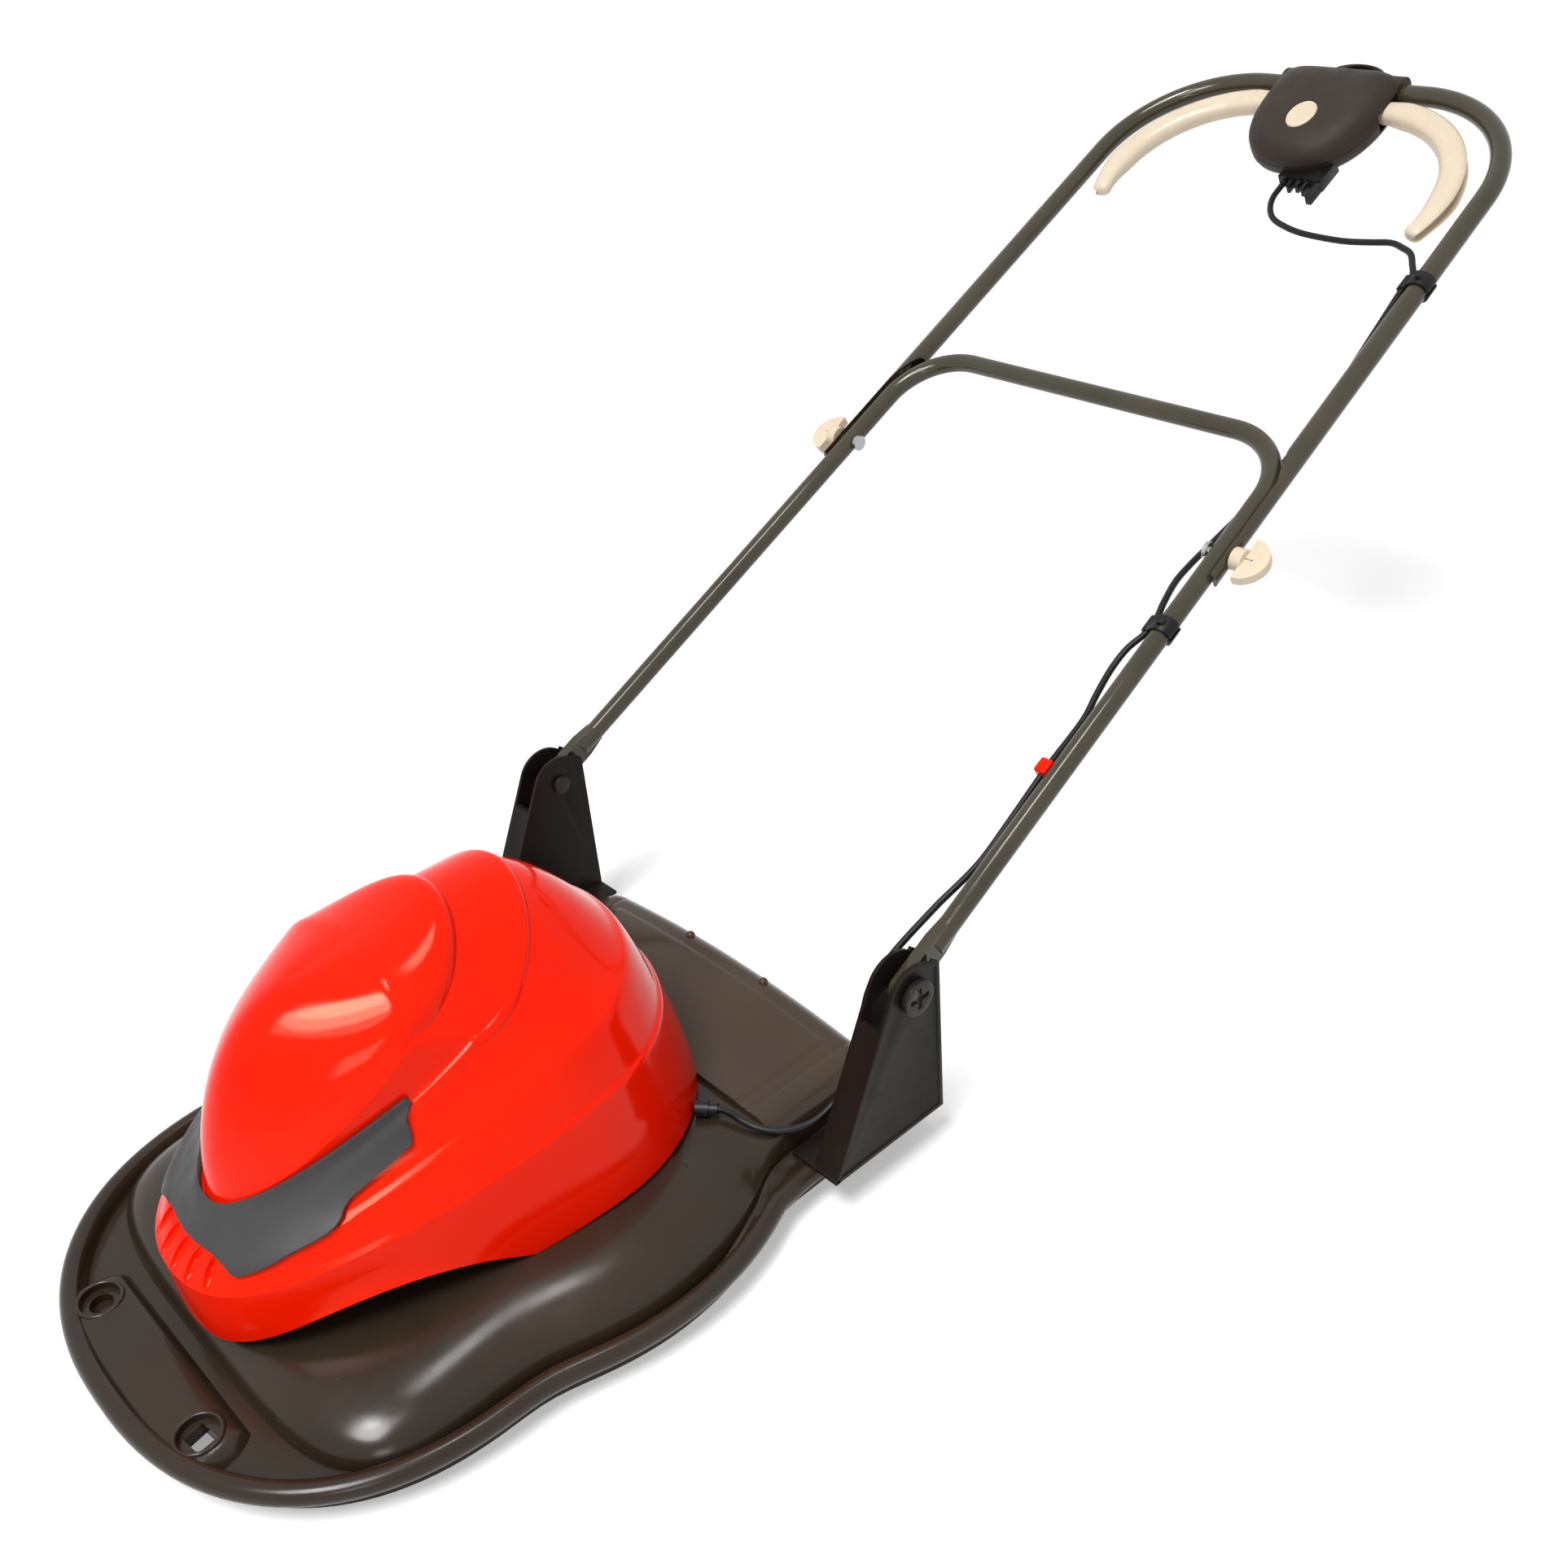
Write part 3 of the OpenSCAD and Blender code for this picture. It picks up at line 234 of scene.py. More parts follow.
# %% Dress the solids
slot_finish = {"deck": deck_plastic, "deck_trim": panel_plastic, "hood": hood_plastic, "visor": visor_plastic,
               "alloy": cast_alloy, "copper": copper_wire, "steel": bright_steel, "black": black_plastic,
               "cord": lead_rubber, "tube": tube_paint, "switch_box": box_plastic, "cream": cream_plastic}
node_slot = {row["node"]: row["material_slot"] for row in frame["record"]["subparts"]}
for node, solid in frame["nodes"].items():
    solid.data.materials.clear()
    solid.data.materials.append(slot_finish[node_slot[node]])
print("dressed", len(node_slot), "solids by slot")

# %% [markdown]
# ## Helpers for selecting and finishing
# An operator acts on all that is selected, so each step first deselects everything. A modifier is applied
# at once, which leaves a plain mesh. Where two forms run together, chosen points are smoothed.

# %% Select, apply and smooth
def deselect():
    if bpy.context.mode != "OBJECT":
        bpy.ops.object.mode_set(mode="OBJECT")
    bpy.ops.object.select_all(action="DESELECT")


def use(piece):
    deselect()
    piece.select_set(True)
    bpy.context.view_layer.objects.active = piece


def edit(piece, action):
    use(piece)
    bpy.ops.object.mode_set(mode="EDIT")
    bpy.ops.mesh.select_all(action=action)


def apply(piece, kind, **values):
    use(piece)
    change = piece.modifiers.new(kind.lower(), kind)
    for name, value in values.items():
        setattr(change, name, value)
    bpy.ops.object.modifier_apply(modifier=change.name)


def round_edges(piece, width, segments, angle=30):
    apply(piece, "BEVEL", width=width / 1000, segments=segments, limit_method="ANGLE",
          angle_limit=math.radians(angle))


def smooth(piece, angle):
    use(piece)
    bpy.ops.object.shade_smooth_by_angle(angle=math.radians(angle))


def smooth_where(piece, chosen, repeat):
    edit(piece, "DESELECT")
    cage = bmesh.from_edit_mesh(piece.data)
    for v in cage.verts:
        v.select = chosen(v)
    cage.select_flush(True)
    bmesh.update_edit_mesh(piece.data)
    bpy.ops.mesh.vertices_smooth(factor=0.5, repeat=repeat)
    deselect()


deselect()
print("selected:", len(bpy.context.selected_objects))

# %% [markdown]
# ## Loft
# A moulding that changes section could be sculpted or subdivided from a box. Here it is lofted: a circle
# is extruded ring after ring, and each new ring is set to its own outline, so the sizes stay exact. The
# points carry their number in the ring as an attribute, because an extrusion doesn't keep their order. The
# last ring is joined to the first, as on a hollow shell, or each end gets a face that is poked into a fan.

# %% Rings
def first_ring(name, ring):
    deselect()
    bpy.ops.mesh.primitive_circle_add(vertices=len(ring), radius=0.1)
    piece = bpy.context.object
    piece.name = name
    edit(piece, "SELECT")
    cage = bmesh.from_edit_mesh(piece.data)
    place = cage.verts.layers.int.new("place")
    for i, v in enumerate(cage.verts):
        v[place] = i
        v.co = ring[i]
    bmesh.update_edit_mesh(piece.data)
    return piece


def next_ring(piece, ring):
    bpy.ops.mesh.extrude_edges_move()
    cage = bmesh.from_edit_mesh(piece.data)
    place = cage.verts.layers.int["place"]
    for v in cage.verts:
        if v.select:
            v.co = ring[v[place]]
    bmesh.update_edit_mesh(piece.data)


def select_first(piece, count):
    bpy.ops.mesh.select_all(action="DESELECT")
    cage = bmesh.from_edit_mesh(piece.data)
    cage.verts.ensure_lookup_table()
    for i in range(count):
        cage.verts[i].select = True
    cage.select_flush(True)
    bmesh.update_edit_mesh(piece.data)


print("helpers: first_ring, next_ring, select_first")

# %% Loft
def close_end():
    bpy.ops.mesh.edge_face_add()
    bpy.ops.mesh.poke()


def loft(name, rings, join=False):
    piece = first_ring(name, rings[0])
    for ring in rings[1:]:
        next_ring(piece, ring)
    if join:
        next_ring(piece, rings[0])
    else:
        close_end()
        select_first(piece, len(rings[0]))
        close_end()
    bpy.ops.mesh.select_all(action="SELECT")
    bpy.ops.mesh.remove_doubles(threshold=1e-6)
    bpy.ops.mesh.normals_make_consistent(inside=False)
    deselect()
    piece.data.attributes.remove(piece.data.attributes["place"])
    print(name, "lofted from", len(rings), "rings")
    return piece


print("helpers: close_end, loft")

# %% [markdown]
# ## Cutters
# Holes and seats could be modelled face by face, but on a curved top that leaves ragged faces. A block or
# a rod is placed where the hole goes and taken away with an exact boolean, or united as a lip or tooth.

# %% Blocks, rods, carve and unite
upright = (0, 0, 0)
leaning = (handle_lean, 0, 0)
along_bar = (0, math.pi / 2, 0)


def block(place, size, turned):
    deselect()
    bpy.ops.mesh.primitive_cube_add(size=1, location=place, rotation=turned)
    bpy.context.object.scale = [c / 1000 for c in size]
    bpy.ops.object.transform_apply(location=True, rotation=True, scale=True)
    return bpy.context.object


def rod(place, radius, length, turned, sides=64, oval=1.0):
    deselect()
    bpy.ops.mesh.primitive_cylinder_add(vertices=sides, radius=radius / 1000, depth=length / 1000,
                                        location=place, rotation=turned)
    bpy.context.object.scale.y = oval
    bpy.ops.object.transform_apply(location=True, rotation=True, scale=True)
    return bpy.context.object


def carve(piece, tool):
    apply(piece, "BOOLEAN", object=tool, operation="DIFFERENCE", solver="EXACT")
    bpy.data.objects.remove(tool)


def unite(piece, tool):
    apply(piece, "BOOLEAN", object=tool, operation="UNION", solver="EXACT")
    bpy.data.objects.remove(tool)


print("cutters: block, rod")

# %% [markdown]
# ## Settle
# A finished piece is shaded smooth, crisp where faces meet at more than a given angle. It takes its
# finish and the body that it moves with, and the solids that it stands for are hidden. One function does it
# all.

# %% Settle
def settle(piece, angle, paint, slot, body, *nodes):
    smooth(piece, angle)
    piece.data.materials.clear()
    piece.data.materials.append(paint)
    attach(piece, body)
    if nodes:
        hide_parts(*nodes)
    print(piece.name, "on", body, len(piece.data.polygons), "faces")


# %% [markdown]
# ## Easing
# Outlines and heights change gradually along the mower. Four short functions mix two values, ramp from 0
# to 1 over a stretch, soften that ramp, and spread points so that they crowd at the ends, where curves are
# tight.

# %% Easing
def mix(a, b, t):
    return a + (b - a) * t


def ramp(y, start, end):
    return max(0.0, min(1.0, (y - start) / (end - start)))


def soft(t):
    return t * t * (3 - 2 * t)


def spread(i, front, back, steps):
    return front + (back - front) * (1 - math.cos(math.pi * i / steps)) / 2


print("a soft ramp at a quarter is", soft(ramp(0.25, 0, 1)))

# %% [markdown]
# ## Deck outline
# Seen from above, the deck is a rounded nose, a disc over the blade and a square tail run into one
# outline. It could be traced as a curve, but not resized then. The largest of the three widths wins at
# each place, and a high power mean rounds the joins.

# %% Deck outline
deck_steps = 80
nose_front, nose_start, nose_half, nose_power = -324, -126, 211, 2.35
disc_r = 232
tail_back, tail_half, tail_power = 254, 204, 10
join_power = 40


def deck_width(y, front, back, nose, power, disc, tail):
    if y <= front or y >= back:
        return 0.0
    reach = max(0, (nose_start - y) / (nose_start - front))
    a = 0 if y > 0 else nose * max(0, 1 - reach ** power) ** (1 / power)
    b = math.sqrt(disc * disc - y * y) if abs(y) < disc else 0
    c = tail * ramp(y, 20, 110) * max(0, 1 - (max(0, y) / back) ** tail_power) ** (1 / tail_power)
    top = max(a, b, c, 0.001)
    return top * sum((w / top) ** join_power for w in (a, b, c)) ** (1 / join_power)


def mirrored(half):
    return half + [(-p[0], *p[1:]) for p in half[-2:0:-1]]


def deck_plan(front, back, nose, power, disc, tail):
    stations = [spread(i, front, back, deck_steps) for i in range(deck_steps + 1)]
    return mirrored([(deck_width(y, front, back, nose, power, disc, tail), y) for y in stations])


print("outline of", 2 * deck_steps, "points,", tail_back - nose_front, "mm long")

# %% [markdown]
# ## Deck rings
# Three kinds of ring make the deck: rings that follow the rim, rings that follow the dome and shrink as
# they rise, and plain circles round the motor's hole. Tray and groove lie lower at the front than at the
# back.

# %% Deck rings
dome_front, dome_back, dome_nose, dome_disc, dome_tail, dome_power = -252, 248, 191, 212, 176, 4
dome_top = 57


def rim_line(inset, height):
    plan = deck_plan(nose_front + inset, tail_back - inset, nose_half - inset, nose_power, disc_r - inset,
                     tail_half - inset)
    return [on_deck(x, y, height(y) if callable(height) else height) for x, y in plan]


def disc_line(r, z):
    half = [(r * math.sin(math.pi * i / deck_steps), spread(i, -r, r, deck_steps))
            for i in range(deck_steps + 1)]
    return [on_deck(x, y, z) for x, y in mirrored(half)]


def tray_height(y):
    return mix(20, 33, ramp(y, 40, 100))


def dome_height(y):
    if y < 0:
        return dome_top - 14 * (y / dome_front) ** 2
    return dome_top - 8 * max(0, y - 84) / 170


def dome_line(t, inset=0.0):
    s = 1 - math.cos(math.pi / 2 * t)
    rise = math.sin(math.pi / 2 * t)
    plan = deck_plan(dome_front + 28 * s + inset, dome_back - 4 * s - inset, dome_nose - 60 * s - inset,
                     dome_power, dome_disc - 60 * s - inset, dome_tail - 6 * s - inset)
    return [on_deck(x, y, mix(tray_height(y), dome_height(y), rise) - inset) for x, y in plan]


print("dome", dome_top, "mm high, tray", tray_height(0), "mm at the front")

# %% [markdown]
# ## Deck shell
# The deck is one moulding: a skirt, a rolled rim, a groove behind it, a tray and ledges, then the dome
# with its broad rounded shoulder. A flat skin would show no wall from below. So the rings follow that
# section from the skirt over the dome to the motor's hole and back inside. Where disc and tail meet, the
# top is smoothed.

# %% Deck shell
roll_r, roll_z = 8, 25
wall = 3


def groove(lift):
    return lambda y: mix(19.6, 31.4, ramp(y, 40, 100)) + lift


def join_of_disc_and_tail(v):
    return v.co.z > 0.05 and 0.066 < v.co.y - motor_y < 0.134 and 0.1 < abs(v.co.x) < 0.182


deck_rings = [rim_line(14, 0), rim_line(13.4, 8)]
for degrees in range(-130, 131, 13):
    a = math.radians(degrees)
    deck_rings.append(rim_line(roll_r * (1 - math.cos(a)), roll_z + roll_r * math.sin(a)))
deck_rings += [rim_line(inset, groove(lift))
               for inset, lift in ((15.6, 4), (16.2, 1.2), (17.4, 0), (18.8, 0.3))]
deck_rings += [dome_line(t) for t in (0, 0.03, 0.08, 0.16, 0.26, 0.36, 0.46, 0.56, 0.66, 0.76, 0.86, 0.94, 1)]
deck_rings += [disc_line(r, z)
               for r, z in ((92, 57), (84, 57.6), (42, 57.6), (40, 56.8), (40, 54.6), (84, 54.6))]
deck_rings += [dome_line(t, wall) for t in (1, 0.8, 0.6, 0.4, 0.2, 0.05)]
deck_rings += [rim_line(17, 15), rim_line(17, 0)]
deck = loft("deck_moulding", deck_rings, join=True)
smooth_where(deck, join_of_disc_and_tail, 30)

# %% [markdown]
# ## Front pod
# A raised pod lies across the front tray, steep at the back and easing down to the rim at the front. It
# could be part of the deck's rings, but its outline crosses them. So it is a loft of its own, of long
# outlines that shrink as they rise and stop short of the rim.

# %% Front pod
pod_steps = 60
pod_y, pod_reach = -288, 27
socket_x, socket_y = 77, -287
pod_top = 31
pod_rows = ((0, 17.5), (0.2, 19.6), (0.9, 21), (2, 23), (3.4, 25.6), (5, 27.8), (7, 29.3), (10, 30.4),
            (14, 31), (19, 31.4), (24, 31.6), (26.6, 31.6))


def rim_front(x, inset):
    u = max(0, 1 - (abs(x) / (nose_half - inset)) ** nose_power) ** (1 / nose_power)
    return nose_start - u * (nose_start - nose_front - inset)


def pod_line(inset, height):
    ring, reach = [], pod_reach - inset
    for i in range(2 * pod_steps):
        a = math.pi * (i + 0.5) / pod_steps
        x = socket_x * max(-1, min(1, 1.9 * math.cos(a))) + reach * math.cos(a)
        y = pod_y + reach * max(-1, min(1, 1.25 * math.sin(a)))
        ring.append(on_deck(x, max(y, rim_front(x, 11 + (pod_top - height) * 0.2)), height))
    return ring


pod = loft("front_pod", [pod_line(inset, height) for inset, height in pod_rows])

# %% [markdown]
# Each end of the pod has a round recess with a lip. A square hole goes through one, and the other has a
# blind round hole. The lip is a ring that is united with the pod, and the holes are carved.

# %% Sockets
for side in (1, -1):
    deselect()
    bpy.ops.mesh.primitive_torus_add(location=on_deck(socket_x * side, socket_y, 30.9), major_radius=0.0155,
                                     minor_radius=0.0016, major_segments=64, minor_segments=12)
    lip = bpy.context.object
    bpy.ops.object.transform_apply(location=True)
    unite(pod, lip)
    carve(pod, rod(on_deck(socket_x * side, socket_y, 33), 14.2, 13, upright, 48))
square_hole = (on_deck(socket_x, socket_y, 20), (17, 15, 40), (0, 0, math.radians(8)))
carve(pod, block(*square_hole))
carve(pod, rod(on_deck(-socket_x, socket_y, 26), 8.5, 14, upright, 48))
carve(deck, block(*square_hole))
settle(deck, 40, deck_plastic, "deck", "deck", "deck_shell")
settle(pod, 40, deck_plastic, "deck", "deck")

# %% [markdown]
# ## Hood tiers
# The hood is a teardrop in plan: a half disc round the motor that tapers to a blunt front. Its tiers are
# such outlines at different heights, and each may slope down to the front and rise to the back. A sculpted
# dome would be quicker but vague. One function for all tiers keeps them related.

# %% One tier
hood_steps = 96


def hood_width(y, r, centre, front, taper, blunt):
    if y <= front or y >= centre + r:
        return 0.0
    if y >= centre:
        return math.sqrt(max(0, r * r - (y - centre) ** 2))
    u = (centre - y) / (centre - front)
    return r * (1 - taper * u ** 1.8) * max(0, 1 - u ** blunt) ** (1 / 2.2)


def tier(r, centre, reach, taper, side_z, front_z, inset=0.0, rise=0.0, blunt=14.0):
    r, front, side_z, front_z = r - inset, -reach + inset, side_z - inset, front_z - inset
    half = []
    for i in range(hood_steps + 1):
        y = spread(i, front, centre + r, hood_steps)
        if y < centre:
            z = mix(side_z, front_z, (centre - y) / (centre - front))
        else:
            z = side_z + rise * ((y - centre) / r) ** 2
        half.append((hood_width(y, r, centre, front, taper, blunt), y, z))
    return mirrored(half)


print("a tier has", 2 * hood_steps, "points")

# %% [markdown]
# Four families of tier follow each other up the hood: a pillow that rolls over the skirt's edge, a dome
# that leans back, the crown that closes it, and a bubble that sits on top at the front.

# %% Families of tiers
def pillow(t, inset=0.0):
    a = math.radians(86 * t)
    out, up = math.cos(a) - 0.07 * t, math.sin(a)
    out = mix(out, 1 - up, 0.8)
    return tier(118 + 14.5 * out, mix(1, -5, t), 237 + 11 * out, mix(0.57, 0.5, t), mix(148, 186, up),
                mix(97, 107, up), inset, 12 * up)


def dome_tier(t, inset=0.0):
    rise = 12 + 52 * math.sin(math.pi / 2 * t) ** 1.1 - 4 * t
    return tier(mix(115, 87, t), mix(-6, -60, t ** 1.3), mix(233, 218, t), mix(0.5, 0.6, t),
                189 + 23 * t ** 1.3, mix(109, 127, t), inset, rise, mix(14, 5, t))


def crown_tier(inset=0.0):
    return tier(80, -86, 214, 0.58, 227, 130, inset, 43, 5)


def bubble_tier(degrees, inset=0.0):
    a = math.radians(degrees)
    s = 1 - math.cos(a)
    return tier(77 * math.cos(a) + 1, -86 + 14 * s, 212 - 95 * s, 0.58 - 0.2 * s, 229 + 40 * math.sin(a),
                132 + 129 * math.sin(a) ** 1.25, inset, 41 * math.cos(a) ** 2, 5 - s)


print("bubble from", min(p[2] for p in bubble_tier(0)), "to", round(max(p[2] for p in bubble_tier(88))), "mm")

# %% [markdown]
# Some changes are made to a whole tier: the lower edge arches up on both sides over the deck, a roll is a
# tier that is lifted, and rings between two tiers keep an edge crisp when they lie close to it.

# %% Changes to a tier
arch_r, arch_y, arch_z = 172, -147, -93


def arched(edge):
    points = []
    for x, y, z in edge:
        span = arch_r * arch_r - (y - arch_y) ** 2
        points.append((x, y, max(z, arch_z + math.sqrt(span)) if span > 0 else z))
    return points


def lifted(edge, up):
    return [(x, y, z + up) for x, y, z in edge]


def between(a, b, t):
    return [tuple(mix(p, q, t) for p, q in zip(u, v)) for u, v in zip(a, b)]


print("arch", arch_r + arch_z, "mm high at its middle")

# %% [markdown]
# ## Motor hood
# The real hood is one thin moulding. The outside is listed from the lower edge up: skirt, waist, pillow
# and dome. The dome ends in a rolled band.

# %% Skirt, pillow and dome
base_edge = arched(tier(144, 12, 250, 0.55, 60, 47))
base_in = arched(tier(141, 12, 247, 0.55, 60, 47))
waist = tier(140, 8, 251, 0.55, 102.5, 70)
skirt_edge = tier(134.5, 2, 252, 0.56, 145, 93)
band_top = 0.8
outside = [base_edge] + [between(base_edge, waist, t) for t in (0.04, 0.5)] + [waist]
outside += [between(waist, skirt_edge, t) for t in (0.5, 0.93)] + [skirt_edge]
outside += [between(skirt_edge, pillow(0), t) for t in (0.3, 0.9)]
outside += [pillow(t) for t in (0, 0.05, 0.15, 0.3, 0.45, 0.6, 0.75, 0.88, 0.97, 1)]
outside += [between(pillow(1), dome_tier(0), t) for t in (0.3, 0.9)]
outside += [dome_tier(t) for t in (0.03, 0.1, 0.2, 0.3, 0.4, 0.5, 0.6, 0.7, 0.78, band_top)]
band_rolls = [lifted(dome_tier(band_top, inset), inset + up)
              for inset, up in ((0.3, 2.5), (1.2, 4.6), (3, 6.2), (5.5, 7))]
print("rings up to the band:", len(outside))

# %% [markdown]
# The bubble grows out of the crown at the front and stands in a crease at the back, so its foot is mixed
# from both along the hood. Inside, fewer rings follow at a wall's distance. The loft's two ends are the
# two tops.

# %% Bubble and inner wall
front_foot = between(crown_tier(), bubble_tier(3), 0.5)
bubble_foot = [tuple(mix(p, q, soft(ramp(u[1], -105, -50))) for p, q in zip(u, v))
               for u, v in zip(front_foot, bubble_tier(0))]
outside += band_rolls + [between(band_rolls[-1], crown_tier(), t) for t in (0.2, 0.45, 0.7, 0.95, 1)]
outside += [between(crown_tier(), bubble_foot, 0.5), bubble_foot]
outside += [bubble_tier(a) for a in (3, 8, 14, 21, 28, 35, 42, 49, 56, 63, 70, 76, 81, 85, 88)]
inside = [bubble_tier(a, wall) for a in (68, 40, 10)] + [crown_tier(4)]
inside += [dome_tier(t, wall) for t in (0.7, 0.4, 0.1)] + [pillow(0.5, 7), pillow(0, 7), base_in]
hood = loft("hood_moulding", [[on_deck(*p) for p in edge] for edge in inside + outside])

# %% [markdown]
# Five vent flutes are pressed into the slope below the visor. They could be extruded inwards, but the
# slope is curved. A stretched, tilted ball is modelled once, and a copy is carved out at each place in the
# row, further back and turned outwards towards the ends.

# %% Vent flutes
flute_pitch = 16.5
deselect()
bpy.ops.mesh.primitive_uv_sphere_add(segments=32, ring_count=24, radius=0.0043)
flute_shape = bpy.context.object
edit(flute_shape, "SELECT")
bpy.ops.transform.resize(value=(1, 1, 3.3))
deselect()
flute_shape.data.transform(Matrix.Rotation(math.radians(-50), 4, "X"))
for k in range(-2, 3):
    x = k * flute_pitch
    back = 6.6 * (abs(x) / 33) ** 2.3
    flute = flute_shape.copy()
    flute.data = flute_shape.data.copy()
    bpy.context.scene.collection.objects.link(flute)
    flute.data.transform(Matrix.Rotation(math.radians(0.5 * x), 4, "Z"))
    flute.data.transform(Matrix.Translation(on_deck(x, -241.8 + back, 102.3 + 0.35 * back)))
    carve(hood, flute)
bpy.data.objects.remove(flute_shape)
settle(hood, 32, hood_plastic, "hood", "deck", "motor_hood")

# %% [markdown]
# ## Visor
# A dark trim wraps the front between the bubble and the flutes. Its lower edge is high over the flutes,
# drops to a corner on each side, runs back, and steps up to a narrow tail with a blunt end. A copy of hood
# faces would follow the hood but not that edge. So points are looked up between the hood's own tiers, by
# row and by place.

# %% Points on the visor
proud = -0.8
trim_edges = [pillow(t, proud) for t in (0, 0.45, 1)] + [dome_tier(t, proud) for t in (0, 0.2, 0.4, 0.6, 0.8)]
trim_edges += [lifted(dome_tier(band_top, 4.7), 12.5), crown_tier(proud)]
low_edge = [(0, 3.55), (1, 3.55), (1.9, 3.37), (3.35, 1.36), (3.7, 0.98), (3.94, 0.9), (4.3, 0.98),
            (6.27, 1.84), (7.9, 1.88), (8.2, 2.05), (8.6, 3.46), (8.8, 3.9), (9.19, 4.29), (10.65, 4.81),
            (12.1, 5.21)]
places_to_nose = 28


def low_row(f):
    for (a, p), (b, q) in zip(low_edge, low_edge[1:]):
        if f <= b:
            return mix(p, q, max(0, f - a) / (b - a))
    return low_edge[-1][1]


def edge_point(edge, f):
    i, u = int(math.floor(f)), f - math.floor(f)
    return [mix(p, q, u) for p, q in zip(edge[i % len(edge)], edge[(i + 1) % len(edge)])]


def trim_point(row, f):
    f = f * hood_steps / places_to_nose
    k = min(int(row), len(trim_edges) - 2)
    low, high = edge_point(trim_edges[k], f), edge_point(trim_edges[k + 1], f)
    return on_deck(*(mix(p, q, row - k) for p, q in zip(low, high)))


print("visor tail begins at row", low_row(8.6))

# %% [markdown]
# A flat grid is laid onto those points. Smoothing its inner points takes out the tiers' creases, and then
# the trim gets its thickness and soft edges.

# %% Visor
visor_across, visor_rows = 168, 20
low_reach, top_reach = 12.1, 13.5
grid_half = 0.05


def grid(name, across, rows):
    deselect()
    bpy.ops.mesh.primitive_grid_add(x_subdivisions=across, y_subdivisions=rows, size=2 * grid_half)
    bpy.context.object.name = name
    return bpy.context.object


visor = grid("visor_trim", visor_across, visor_rows)
for j in range(visor_rows + 1):
    up = j / visor_rows
    for i in range(visor_across + 1):
        k = 2 * i / visor_across - 1
        f_low, f_top = low_reach * k, top_reach * k
        row = mix(low_row(abs(f_low)), 9.0 - 0.8 * abs(k) ** 2, up)
        visor.data.vertices[j * (visor_across + 1) + i].co = trim_point(row, mix(f_low, f_top, up))
smooth_where(visor, lambda v: not v.is_boundary, 14)
apply(visor, "SOLIDIFY", thickness=0.003, offset=1, use_even_offset=False)
round_edges(visor, 0.9, 3, 40)
settle(visor, 40, visor_plastic, "visor", "deck", "hood_visor")

# %% [markdown]
# ## Softened solids
# Brackets, bolts, knobs, clips and the hook already have the right shape, but a mould never leaves a razor
# edge. Modelling them again would only risk their fit. A copy of the solid is merged, its flat triangles
# are dissolved, and a bevel rounds what is sharp.

# %% Soften a solid
def softened(node, name, width, shape):
    solid = frame["nodes"][node]
    piece = solid.copy()
    piece.data = solid.data.copy()
    piece.parent = None
    for key in list(piece.keys()):
        if key.startswith("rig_"):
            del piece[key]
    piece.name = name
    bpy.context.scene.collection.objects.link(piece)
    edit(piece, "SELECT")
    bpy.ops.mesh.remove_doubles(threshold=2e-6)
    bpy.ops.mesh.dissolve_limited(angle_limit=math.radians(1.0))
    if shape:
        shape(piece)
    round_edges(piece, width, 3)
    return piece


print("solids to choose from:", len(frame["nodes"]))

# %% [markdown]
# Three solids change a little: a bracket's outer plate gets a raised border by two insets, the heads of
# the pivot bolts are wider, and the hook is flatter and broader, as its visible top edge shows.

# %% Small changes of shape
bolt_growth = 1.3
hook_squash, hook_growth = 0.42, 1.3


def rimmed(piece):
    cage = bmesh.from_edit_mesh(piece.data)
    reach = max(abs(v.co.x) for v in cage.verts)
    bpy.ops.mesh.select_all(action="DESELECT")
    for face in cage.faces:
        face.select = abs(face.normal.x) > 0.95 and abs(face.calc_center_median().x) > reach - 0.0006
    bmesh.update_edit_mesh(piece.data)
    bpy.ops.mesh.inset(thickness=0.0034, depth=0)
    bpy.ops.mesh.inset(thickness=0.0008, depth=-0.0009)


def widened(piece):
    cage = bmesh.from_edit_mesh(piece.data)
    axis = on_deck(0, pivot_y, pivot_z)
    for v in cage.verts:
        v.co.y = axis.y + bolt_growth * (v.co.y - axis.y)
        v.co.z = axis.z + bolt_growth * (v.co.z - axis.z)
    bmesh.update_edit_mesh(piece.data)


def flattened(piece):
    cage = bmesh.from_edit_mesh(piece.data)
    seat = on_handle(0, 963, 8)
    along = on_handle(0, 1, 0) - on_handle(0, 0, 0)
    along.normalize()
    for v in cage.verts:
        reach = (v.co - seat).dot(along)
        v.co -= along * hook_squash * max(0, reach)
        v.co.x = 0.008 + hook_growth * v.co.x
    bmesh.update_edit_mesh(piece.data)


print("bolt heads are", bolt_growth, "times as wide")

# %% Soften the moulded solids
body_of = {node: body for body, nodes in frame["record"]["behaviour"]["bodies"].items() for node in nodes}
paired = (("bracket_", "bracket_moulding_", 0.8, bracket_plastic, "deck", rimmed),
          ("pivot_bolt_", "pivot_screw_", 0.6, bolt_paint, "deck", widened),
          ("wing_knob_", "wing_nut_", 1.0, cream_plastic, "cream", None))
single = (("cable_hook", "lead_hook", 0.6, black_plastic, "black", flattened),
          ("cable_clip_upper", "lead_clip_upper", 0.6, black_plastic, "black", None),
          ("cable_clip_lower", "lead_clip_lower", 0.6, black_plastic, "black", None))
rows = [(node + hand, name + hand, *rest) for node, name, *rest in paired for hand in ("left", "right")]
for node, name, width, paint, slot, shape in (*rows, *single):
    settle(softened(node, name, width, shape), 35, paint, slot, body_of[node], node)

